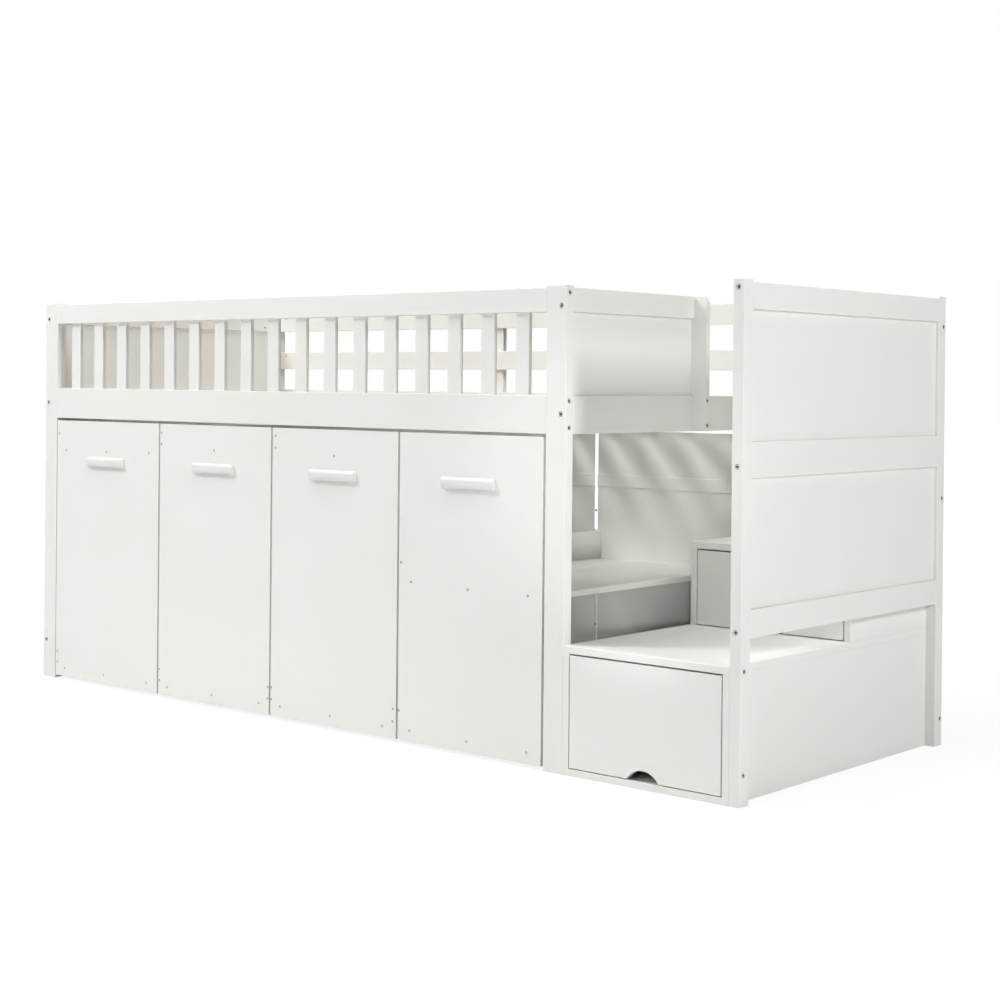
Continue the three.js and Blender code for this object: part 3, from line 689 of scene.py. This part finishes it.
def trim_carcass(mesh):
    """Thins the cleat on the back, and planes off the back's right rear arris, so that light
    falls through between two backs as far down as their upper half."""
    for vert in mesh.verts:
        if abs(vert.co.y - CLEAT_DEEP) < MERGE and vert.co.z > CLEAT_LOW:
            vert.co.y = CLEAT_FACE
    for height in PLANED_FROM:
        whole = [*mesh.verts, *mesh.edges, *mesh.faces]
        bmesh.ops.bisect_plane(mesh, geom=whole, plane_co=(0, 0, height), plane_no=(0, 0, 1))
    right = max(vert.co.x for vert in mesh.verts)
    rear = max(vert.co.y for vert in mesh.verts)
    for vert in mesh.verts:
        corner = vert.co.x > right - MERGE and vert.co.y > rear - MERGE
        if corner and vert.co.z > PLANED_FROM[1] - MERGE:
            vert.co.x -= PLANED_OFF


FRONT_ARRIS = 0.3 * MM
FRONT_SIDES_OFF = 2.0 * MM
INNER_BOARD_ARRIS = 1.0 * MM
slimmer = cut_smaller(FRONT_SIDES_OFF)
for unit in UNITS:
    body = UNIT_BODY[unit]
    eased_board(f"{unit}_front", body, lacquer_on_board, arris=FRONT_ARRIS, trim=slimmer)
    eased_board(f"{unit}_carcass", body, lacquer_on_board, arris=PANEL_ARRIS, trim=trim_carcass)
for unit in ("desk", "shelf_unit"):
    eased_board(f"{unit}_board", UNIT_BODY[unit], lacquer_on_board, arris=INNER_BOARD_ARRIS)


# Hanging rods: plain turned pine poles with a small chamfer at either end, one in each wardrobe.
# Each is held between the tall front and the back, and left bare.
def turned(stations, steps):
    """A closed turning about Z. Each station has a radius, or one for each angle, and a height;
    a third value marks the band below it as the inside of a recess, which the steel's finish
    paints dark as shade."""
    mesh = bmesh.new()
    recess = mesh.faces.layers.float.new("recess")
    rings = []
    for radius, height, *_ in stations:
        ring = []
        for step in range(steps):
            angle = math.tau * step / steps
            reach = radius(angle) if callable(radius) else radius
            ring.append(mesh.verts.new((reach * math.cos(angle), reach * math.sin(angle), height)))
        rings.append(ring)
    dark = [float(len(station) > 2) for station in stations]
    for k, (low, high) in enumerate(zip(rings, rings[1:])):
        for step in range(steps):
            n = (step + 1) % steps
            face = mesh.faces.new((low[step], low[n], high[n], high[step]))
            face[recess] = dark[k + 1]
    mesh.faces.new(reversed(rings[0]))
    top = mesh.faces.new(rings[-1])
    top[recess] = dark[-1]
    return mesh


def laid(mesh, axis, place):
    """Turns a turning's Z axis to another axis, and puts its zero in place."""
    turn = Vector((0, 0, 1)).rotation_difference(Vector(axis)).to_matrix().to_4x4()
    mesh.transform(Matrix.Translation(place) @ turn)
    return mesh


def chamfered(radius, length, chamfer):
    """The stations of a plain round bar with a chamfer at either end."""
    tip = radius - chamfer
    return [(tip, 0), (radius, chamfer), (radius, length - chamfer), (tip, length)]


ROD_CHAMFER = 1.2 * MM
ROD_STEPS = 40
for unit in ("wardrobe_a", "wardrobe_b"):
    low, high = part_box(f"{unit}_rod")
    profile = chamfered((high.x - low.x) / 2, high.y - low.y, ROD_CHAMFER)
    start = ((low.x + high.x) / 2, low.y, (low.z + high.z) / 2)
    rod = laid(turned(profile, ROD_STEPS), (0, 1, 0), start)
    piece = as_piece(f"{unit}_rod_turned", rod, pine_along["y"])
    hand_over(piece, UNIT_BODY[unit], [f"{unit}_rod"])


# Handles: a cup pull moulded in white plastic, a flattened half-round bar with closed ends that is
# hollow and open below, so that fingers go up behind it. Each is screwed on from inside the front.
PLASTIC = (0.79, 0.792, 0.78, 1)
PLASTIC_FLOW = (0.765, 0.768, 0.752, 1)
PLASTIC_RELIEF = 0.08 * MM
moulded = Finish("moulded_white_plastic")
grit = moulded.noise(moulded.place(), 1500, detail=1)
flow = moulded.noise(moulded.place((0.25, 1, 1)), 30, detail=3)
moulded.finish(
    base_color=moulded.blend(flow.span(0.3, 0.7), PLASTIC, PLASTIC_FLOW),
    roughness=grit.span(0.2, 0.8, 0.34, 0.44) + flow * 0.04,
    specular_ior_level=0.4,
    normal=moulded.bump(grit * 0.3 + flow * 0.6, PLASTIC_RELIEF),
)

HANDLE_DEPTH = 13  # in mm, as are the rise to either side of its middle and the lift of that
HANDLE_RISE = 14.25
HANDLE_LIFT = 1.0
FLATNESS = 2 / 3  # 1 would be a true ellipse, less gives a flatter front with rounder corners
LIP_ANGLE = math.radians(-66)
ARC_STEPS = 18
# Depth and height, in mm, of the inside: from the lip up under the roof and back to the front.
HOLLOW = [(5.2, -11.7), (8.8, -9.8), (10.5, -5), (10.8, 0), (10.3, 5.5), (7.6, 10.2), (0, 11.4)]
# From the bar's middle outwards: place in mm, shares of depth and height, and if it is hollow.
# The dip at 65 is the parting line before the closed end.
HANDLE_STATIONS = [
    (0, 1, 1, True),
    (63.5, 1, 1, True),
    (63.5, 1, 1, False),
    (64.6, 1, 1, False),
    (65.2, 0.97, 0.98, False),
    (65.8, 1, 1, False),
    (83.2, 0.99, 0.99, False),
    (85.0, 0.96, 0.965, False),
    (86.2, 0.9, 0.93, False),
    (86.8, 0.82, 0.89, False),
    (87.1, 0.72, 0.84, False),
]


def arc(depth, rise, start, end, steps):
    """The outside of the pull's section, from one angle to another."""
    points = []
    for k in range(steps + 1):
        turn = start + (end - start) * k / steps
        out = abs(math.cos(turn)) ** FLATNESS
        up = math.copysign(abs(math.sin(turn)) ** FLATNESS, turn)
        points.append((depth * out * MM, rise * up * MM))
    return points


def cup_handle(low, high):
    """The pull, skinned from end to end, on the face of its front."""
    mesh = bmesh.new()
    middle = (low + high) / 2
    mirrored = [(-place, *rest) for place, *rest in reversed(HANDLE_STATIONS[1:])]
    rings = []
    for place, depth_share, rise_share, hollow in mirrored + HANDLE_STATIONS:
        sizes = (HANDLE_DEPTH * depth_share, HANDLE_RISE * rise_share)
        section = arc(*sizes, math.pi / 2, LIP_ANGLE, ARC_STEPS)
        if hollow:
            section += [(depth * MM, height * MM) for depth, height in HOLLOW]
        else:
            section += arc(*sizes, LIP_ANGLE, -math.pi / 2, len(HOLLOW))[1:]
        x = middle.x + place * MM
        level = middle.z + HANDLE_LIFT * MM
        rings.append([mesh.verts.new((x, high.y - depth, level + z)) for depth, z in section])
    return bridge(mesh, rings)


for unit in UNITS:
    mesh = cup_handle(*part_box(f"{unit}_handle"))
    piece = as_piece(f"{unit}_cup_handle", mesh, moulded.material)
    hand_over(piece, UNIT_BODY[unit], [f"{unit}_handle"])


# Wheels: small grey moulded wheels with a hub, a thin web and six ribs, two on each steel axle
# that turns in the bearing blocks under the unit's base.
RUBBER_GREY = (0.04, 0.042, 0.044, 1)
DUST_GREY = (0.13, 0.125, 0.115, 1)
TYRE_RELIEF = 0.1 * MM
tyre = Finish("moulded_grey_plastic")
scuff = tyre.noise(tyre.place(), 260, detail=5, roughness=0.7)
dust = tyre.noise(tyre.place(), 70, detail=3).span(0.4, 0.7)
tyre.finish(
    base_color=tyre.blend(dust * 0.35 + scuff * 0.2, RUBBER_GREY, DUST_GREY),
    roughness=scuff.span(0.3, 0.7, 0.42, 0.66),
    specular_ior_level=0.4,
    normal=tyre.bump(scuff, TYRE_RELIEF),
)

ZINC = (0.74, 0.74, 0.72, 1)
ZINC_BLUE = (0.36, 0.37, 0.38, 1)
RECESS_SHADE_COLOUR = (0.035, 0.034, 0.032, 1)
PLATING_RELIEF = 0.04 * MM


def coated_steel(name, bright, dull, sheen):
    """Steel under a thin coating that is clouded here and there, with its recesses painted dark as
    shade.
    """
    steel = Finish(name)
    plating = steel.noise(steel.place(), 620, detail=4, roughness=0.65)
    bloom = steel.noise(steel.place(), 95, detail=2).span(0.35, 0.65)
    recess_shade = steel.attribute("recess")
    return steel.finish(
        base_color=steel.blend(recess_shade * 0.97, steel.blend(bloom * 0.8, bright, dull), RECESS_SHADE_COLOUR),
        metallic=sheen - recess_shade * 0.4,
        roughness=plating.span(0.3, 0.7, 0.3, 0.46) + recess_shade * 0.3,
        normal=steel.bump(plating, PLATING_RELIEF),
    )


zinc_plated = coated_steel("zinc_plated_steel", ZINC, ZINC_BLUE, sheen=0.7)

WHEEL_HALF = 6
# Radius and height, in mm, from the hub over the web and rim to the tread's middle.
WHEEL_PROFILE = [(4.6, 6), (4.9, 5.6), (4.9, 1.4), (9.6, 1.2), (9.9, 5.2), (10.3, 5.8)]
WHEEL_PROFILE += [(11.6, 6), (12.2, 5.7), (12.45, 5), (12.5, 4)]
WHEEL_RIBS = 6
RIB = (5.6, 1.1, 9)  # outwards, across and along the axle, in mm
RIB_MIDDLE = 7.2
AXLE_RADIUS = 3 * MM
AXLE_PROUD = 0.9 * MM
AXLE_CHAMFER = 0.8 * MM
WHEEL_STEPS = 48
AXLE_STEPS = 24


def wheel(mesh, centre):
    """Adds one wheel to a mesh, with its axis along X."""
    near = [(radius * MM, -height * MM) for radius, height in WHEEL_PROFILE]
    far = [(radius, -height) for radius, height in reversed(near)]
    one = turned(near + far, WHEEL_STEPS)
    for rib in range(WHEEL_RIBS):
        turn = Matrix.Rotation(math.tau * rib / WHEEL_RIBS, 4, "Z")
        size = Matrix.Diagonal([side * MM for side in RIB] + [1])
        place = turn @ Matrix.Translation((RIB_MIDDLE * MM, 0, 0)) @ size
        bmesh.ops.create_cube(one, size=1, matrix=place)
    spare = bpy.data.meshes.new("spare")
    laid(one, (1, 0, 0), centre).to_mesh(spare)
    one.free()
    mesh.from_mesh(spare)
    bpy.data.meshes.remove(spare)


for unit in UNITS:
    for end in ("front", "rear"):
        node, body = f"{unit}_{end}_wheels", f"{unit}_{end}_axle"
        low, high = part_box(node)
        middle = (low + high) / 2
        pair = bmesh.new()
        for x in (low.x + WHEEL_HALF * MM, high.x - WHEEL_HALF * MM):
            wheel(pair, (x, middle.y, middle.z))
        piece = as_piece(f"{node}_moulded", pair, tyre.material)
        hand_over(piece, body, [node])
        length = high.x - low.x + 2 * AXLE_PROUD
        start = (low.x - AXLE_PROUD, middle.y, middle.z)
        profile = chamfered(AXLE_RADIUS, length, AXLE_CHAMFER)
        axle = laid(turned(profile, AXLE_STEPS), (1, 0, 0), start)
        piece = as_piece(f"{unit}_{end}_axle_pin", axle, zinc_plated)
        hand_over(piece, body, [node])


# Bolts and barrel nuts: zinc-plated socket-head bolts, sunk in the posts, go into the ends of the
# rails and pull on slotted barrel nuts that sit in cross holes on the rails' inner faces.
SHANK_SIDES = 12
HEAD_STEPS = 48


def fastener_jig():
    """Sets a head, and a shank behind it, on each point, turned to where the point faces."""
    sizes = {"shank": float, "bury": float, "seed": int}
    jig = Jig("fasteners", head=bpy.types.Object, **sizes)
    points = jig.given("Geometry")

    def attribute(name, sort):
        return jig.add("GeometryNodeInputNamedAttribute", {"data_type": sort}, {"Name": name})

    values = {"Vector": attribute("facing", "FLOAT_VECTOR")}
    upright = jig.add("FunctionNodeAlignRotationToVector", {"axis": "Z"}, values)
    values = {2: 0.0, 3: math.tau, "Seed": jig.given("seed")}
    angle = jig.add("FunctionNodeRandomValue", {"data_type": "FLOAT"}, values, out=1)
    values = {"Axis": (0, 0, 1), "Angle": angle}
    driven = jig.add("FunctionNodeAxisAngleToRotation", values=values)
    values = {"Rotation": upright, "Rotate By": driven}
    turn = jig.add("FunctionNodeRotateRotation", {"rotation_space": "LOCAL"}, values)
    head = jig.add("GeometryNodeObjectInfo", values={"Object": jig.given("head")}, out="Geometry")
    values = {0: points, "Instance": head, "Rotation": turn}
    heads = jig.add("GeometryNodeInstanceOnPoints", values=values)
    values = {"Vertices": SHANK_SIDES, "Radius": jig.given("shank"), "Depth": 1.0}
    rod = jig.add("GeometryNodeMeshCylinder", values=values)
    values = {"Geometry": rod, "Translation": (0, 0, -0.5)}
    rod = jig.add("GeometryNodeTransform", values=values)
    values = {0: points, "Instance": rod, "Rotation": turn}
    shanks = jig.add("GeometryNodeInstanceOnPoints", values=values)
    down = jig.add("ShaderNodeCombineXYZ", values=[0.0, 0.0, jig.given("bury") * -1])
    values = {0: shanks, "Translation": down, "Local Space": True}
    shanks = jig.add("GeometryNodeTranslateInstances", values=values)
    stretch = jig.add("ShaderNodeCombineXYZ", values=[1.0, 1.0, attribute("length", "FLOAT")])
    values = {0: shanks, "Scale": stretch, "Local Space": True}
    shanks = jig.add("GeometryNodeScaleInstances", values=values)
    join = jig.tree.nodes.new("GeometryNodeJoinGeometry")
    for part in (shanks, heads):
        jig.connect(join.inputs[0], part)
    jig.close(join.outputs[0])
    return jig


fasteners = fastener_jig()


def drive_all(name, body, spots, head_profile, material, **sizes):
    """One mesh of all the fasteners of a kind on a body: place, way and shank length of each."""
    points = bpy.data.meshes.new("spots")
    points.from_pydata([Vector(place) * MM for place, *_ in spots], [], [])
    points.attributes.new("facing", "FLOAT_VECTOR", "POINT")
    points.attributes.new("length", "FLOAT", "POINT")
    for k, (_, way, reach) in enumerate(spots):
        points.attributes["facing"].data[k].vector = way
        points.attributes["length"].data[k].value = reach * MM
    profile = []
    for radius, height, *dark in head_profile:
        profile.append((radius if callable(radius) else radius * MM, height * MM, *dark))
    head = as_piece("head", turned(profile, HEAD_STEPS), material)
    made = fasteners.make(name, points, head=head, material=material, **sizes)
    bpy.data.objects.remove(head)
    hand_over(made, body)


def hexagon(apothem):
    """The radius, at an angle, of a hexagon."""
    side = math.tau / 6
    return lambda angle: apothem * MM / math.cos((angle % side) - side / 2)


def groove(half_length, half_width):
    """The radius, at an angle, of a driver's slot."""

    def radius(angle):
        lengthwise = max(abs(math.cos(angle)), MERGE)
        across = max(abs(math.sin(angle)), MERGE)
        return min(half_length * MM / lengthwise, half_width * MM / across)

    return radius


# Radius and height, in mm, from the shank's side up and into the recess. A third value stands
# where the surface up to there is painted dark as shade: a head's rim, for the shadow in the
# hole around it, and the socket or slot.
BOLT_HEAD = [
    (5.0, -5.4),
    (6.1, -5.2, True),
    (6.2, -2.0, True),
    (5.7, -1.5, True),
    (5.1, -1.2),
    (3.0, -1.2),
    (hexagon(1.9), -1.4, True),
    (hexagon(1.9), -4.0, True),
    (0.4, -4.6, True),
]
# The nut's end: its driver's slot is painted dark as shade.
NUT_END = [
    (4.8, -4.0),
    (4.8, -1.3),
    (4.45, -0.9),
    (groove(4.0, 0.75), -0.9),
    (groove(3.9, 0.65), -2.4, True),
]
NUT_BURY = 3.9  # all in mm: how deep a nut's shank starts below the face that its hole is in
NUT_REACH = 38  # from the joint to the middle of the nut
PAST_NUT = 7  # of the bolt's tip
BITE = 14  # of a bolt without a nut
FRONT, BACK, LEFT, RIGHT = (0, -1, 0), (0, 1, 0), (-1, 0, 0), (1, 0, 0)
LEFT_END, RIGHT_END = -1281.5, 1281.5
FRONT_FACE, REAR_FACE = -474, 492
POST_WIDTH, POST_DEPTH = 59, 30.6
END_POST_WIDTH, END_POST_DEPTH = 28, 38.4
MIDDLE_POST = 727.5
DECK_BOLTS = (890, 826)
INNER_END = 772.5
INNER_END_NUT = (LEFT, 758.5, 17.5)
STAIR_GUARD = 482
STAIR_GUARD_BOLTS = (1087, 643)
STAIR_GUARD_NUT = (FRONT, 472, 13.5)
STEP_BOLTS = ((-458, 70), (-458, 299), (482, 70))
GRAB_EDGE = (825.5, 74)
GRAB_DEPTH = 39
bolts = []
nuts = []


def bolt(place, facing, through, way=None, face=0.0, depth=0.0):
    """Notes a bolt and, if it has one, its nut: where the mouth looks, its face and its depth."""
    reach = through + NUT_REACH
    bolts.append((place, facing, reach + PAST_NUT if way else through + BITE))
    if way:
        mouth = [place[k] - facing[k] * reach for k in range(3)]
        mouth[0 if way[0] else 1] = face
        nuts.append((mouth, way, depth - NUT_BURY))


# Bolts along the bed: depth and heights of each row, and its nuts' way, face and hole's depth.
for y, heights, nut in (
    (-458.7, (1149, *DECK_BOLTS), (BACK, -443.4, 18.5)),
    (468.9, (1149, 1019), (FRONT, 461.4, 11)),
    (476.7, DECK_BOLTS, (FRONT, 461.4, 18.5)),
):
    for z in heights:
        bolt((LEFT_END, y, z), LEFT, POST_WIDTH, *nut)
        bolt((MIDDLE_POST + POST_WIDTH, y, z), RIGHT, POST_WIDTH, *nut)
# Bolts across the bed: place and heights of each row, the post that it runs through, its nuts.
for x, heights, through, nut in (
    (-1267.5, (1117, 858, 115), POST_DEPTH, (RIGHT, -1253.5, 17.5)),
    (INNER_END, (858,), POST_DEPTH, INNER_END_NUT),
    (1267.5, (1148, 751, 385), END_POST_DEPTH, (LEFT, 1253.5, 17.5)),
):
    for z in heights:
        bolt((x, FRONT_FACE, z), FRONT, through, *nut)
        bolt((x, REAR_FACE, z), BACK, through, *nut)
bolt((INNER_END, FRONT_FACE, 1117), FRONT, POST_DEPTH, *INNER_END_NUT)
for z in STAIR_GUARD_BOLTS:
    bolt((RIGHT_END, STAIR_GUARD, z), RIGHT, END_POST_WIDTH, *STAIR_GUARD_NUT)
    bolt((MIDDLE_POST, STAIR_GUARD, z), LEFT, POST_WIDTH, *STAIR_GUARD_NUT)
for y, z in STEP_BOLTS:
    bolt((RIGHT_END, y, z), RIGHT, END_POST_WIDTH)
for z in DECK_BOLTS:
    bolt((*GRAB_EDGE, z), RIGHT, GRAB_DEPTH)

sizes = {"shank": 2.9 * MM, "bury": 5.2 * MM, "seed": 3}
drive_all("bolts", "bed_frame", bolts, BOLT_HEAD, zinc_plated, **sizes)
sizes = {"shank": 4.75 * MM, "bury": NUT_BURY * MM, "seed": 5}
drive_all("barrel_nuts", "bed_frame", nuts, NUT_END, zinc_plated, **sizes)


# Screws of the units: small countersunk cross-head screws of blackened steel, driven from outside
# into the edges of each unit's boards, so their heads stay in view. Two more hold each back.
BLACKENED = (0.11, 0.11, 0.11, 1)
BLACKENED_WORN = (0.3, 0.3, 0.29, 1)
blackened = coated_steel("blackened_steel", BLACKENED, BLACKENED_WORN, sheen=0.5)


def cross(half_length, half_width):
    """The radius, at an angle, of a cross recess."""
    one = groove(half_length, half_width)
    return lambda angle: max(one(angle), one(angle + math.pi / 2))


# The screw's head, as above: its cross recess is painted dark as shade.
SCREW_HEAD = [
    (1.4, -2.6),
    (3.2, -0.5),
    (3.35, -0.1),
    (3.2, 0.15),
    (2.6, 0.2),
    (cross(2.1, 0.7), 0.15),
    (cross(1.8, 0.5), -1.4, True),
    (0.3, -2.0, True),
]
# Distance from the bed's left end and height, in mm, of each screw of a front.
FRONT_SCREWS = {
    "desk": "72,761 108,711 309,711 510,714 72,83 73,51 109,34 304,34 506,35",
    "wardrobe_a": "569,776 569,743 803,731 568,83 569,50 604,34 801,35 999,37 1036,86 1036,54",
    "wardrobe_b": "1058,780 1059,747 1288,732 1050,87 1049,54 "
    "1085,38 1280,37 1474,36 1512,86 1511,53",
    "shelf_unit": "1537,467 1572,419 1765,415 1958,416 1533,85 1571,37 1765,36 1958,37",
}
BACK_MIDDLE = 378.5
BACK_SCREW_HEIGHTS = (226, 560)
SCREW_LENGTH = 11
for number, unit in enumerate(UNITS):
    screws = []
    for pair in FRONT_SCREWS[unit].split():
        x, z = map(float, pair.split(","))
        screws.append(((LEFT_END + x, FRONT_FACE, z), FRONT, SCREW_LENGTH))
    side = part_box(f"{unit}_carcass")[1].x / MM
    for z in BACK_SCREW_HEIGHTS:
        screws.append(((side, BACK_MIDDLE, z), RIGHT, SCREW_LENGTH))
    sizes = {"shank": 1.2 * MM, "bury": 2.4 * MM, "seed": 11 + number}
    drive_all(f"{unit}_screws", UNIT_BODY[unit], screws, SCREW_HEAD, blackened, **sizes)


# Staples of the webbing: flat zinc-plated wire, driven across the strap into every slat, so that
# the roll keeps its pitch. Only the crown of each shows.
STAPLE = Vector((11, 1.3, 0.7)) * MM
STAPLE_LIFT = 0.1 * MM
STAPLE_ARRIS = 0.25 * MM
STAPLE_ARRIS_STEPS = 2
for side, middle in strap_middles.items():
    staples = bars.make(
        f"webbing_staples_{side}",
        count=DECK_SLATS,
        first=(deck_first, middle - STAPLE.x / 2, deck_high.z + STAPLE_LIFT),
        pitch=(deck_pitch, 0.0, 0.0),
        reach=(0.0, STAPLE.x, 0.0),
        width=STAPLE.y,
        thickness=STAPLE.z,
        arris=STAPLE_ARRIS,
        arris_steps=STAPLE_ARRIS_STEPS,
        material=zinc_plated,
    )
    hand_over(staples, "bed_frame")


# Studio: a white sweep in an even pale room, both nearly pure white to the camera. Soft lamps hang
# high on the left, in front, on the right, overhead and behind, and two narrow spots by the camera
# light the open bay and the place under its shelf.
FLOOR = 40  # metres from the middle to an edge
FLOOR_DROP = 0.5 * MM
FLOOR_GLOW = 1.05
# Metres from the middle where the floor starts and ends to fade, and its share of white at both.
FLOOR_FADE = (1.4, 3.2, 0.84, 1.0)
sheet = bpy.data.meshes.new("floor")
corners = [(-FLOOR, -FLOOR, 0), (FLOOR, -FLOOR, 0), (FLOOR, FLOOR, 0), (-FLOOR, FLOOR, 0)]
sheet.from_pydata(corners, [], [(0, 1, 2, 3)])
floor = bpy.data.objects.new("floor", sheet)
floor.location.z = -FLOOR_DROP
scene.collection.objects.link(floor)
white = Finish("floor_white")
white.finish(base_color=(0.8, 0.8, 0.795, 1), roughness=0.9, specular_ior_level=0.1)
glow = white.add("ShaderNodeEmission", values={"Strength": FLOOR_GLOW})
seen = white.add("ShaderNodeLightPath", out="Is Camera Ray")
far = white.add("ShaderNodeVectorMath", {"operation": "LENGTH"}, [white.place()], out="Value")
lit = Wire(white, white.shader.outputs[0])
shown = white.add("ShaderNodeMixShader", values=[seen * far.span(*FLOOR_FADE), lit, glow])
white.connect(white.tree.nodes["Material Output"].inputs["Surface"], shown)
sheet.materials.append(white.material)

room = bpy.data.worlds.new("room")
room.use_nodes = True
air = Tree(room.node_tree)
ROOM_LIGHT = 0.06
pale = room.node_tree.nodes["Background"]
pale.inputs["Color"].default_value = (1, 0.97, 0.92, 1)
pale.inputs["Strength"].default_value = ROOM_LIGHT
backdrop = air.add("ShaderNodeBackground", values={"Color": (1, 1, 1, 1), "Strength": 1.0})
seen = air.add("ShaderNodeLightPath", out="Is Camera Ray")
shown = air.add("ShaderNodeMixShader", values=[seen, Wire(air, pale.outputs[0]), backdrop])
air.connect(room.node_tree.nodes["World Output"].inputs["Surface"], shown)
scene.world = room


def hang(name, kind, place, aim, power, **settings):
    """A lamp where it hangs, turned to what it is aimed at."""
    data = bpy.data.lights.new(name, kind)
    data.energy = power
    for key, setting in settings.items():
        setattr(data, key, setting)
    light = bpy.data.objects.new(name, data)
    light.location = place
    light.rotation_euler = (Vector(aim) - Vector(place)).to_track_quat("-Z", "Y").to_euler()
    scene.collection.objects.link(light)


# Place and aim in metres, power in watts, width and height in metres.
SOFT_LAMPS = {
    "key": ((-2.9, -3.2, 4.6), (0.3, 0.0, 0.6), 183, 1.3, 1.3),
    "front": ((-0.6, -6.0, 1.9), (0.0, 0.0, 0.6), 61, 3.2, 2.4),
    "side": ((4.9, -0.84, 2.68), (0.6, -0.1, 0.85), 86, 0.45, 0.85),
    "right": ((6.0, -0.3, 1.1), (0.8, 0.0, 0.7), 40, 2.4, 1.4),
    "top": ((0.3, -0.6, 5.0), (0.3, 0.0, 0.5), 142, 3.0, 3.0),
    "rear": ((-1.6, 6.0, 1.8), (-0.2, 0.4, 0.5), 90, 3.0, 2.0),
}
for name, (place, aim, power, width, height) in SOFT_LAMPS.items():
    hang(name, "AREA", place, aim, power, shape="RECTANGLE", size=width, size_y=height)

# Place and aim in metres, power in watts, width of the cone in degrees.
SPOTS = {
    "bay": ((3.62, -4.07, 1.0), (0.34, 0.3, 0.7), 185, 10.5),
    "under_shelf": ((3.6, -4.05, 0.85), (0.4, 0.37, 0.3), 360, 3.9),
}
SPOT_EDGE = {"spot_blend": 0.9, "shadow_soft_size": 0.1}
for name, (place, aim, power, cone) in SPOTS.items():
    hang(name, "SPOT", place, aim, power, spot_size=math.radians(cone), **SPOT_EDGE)
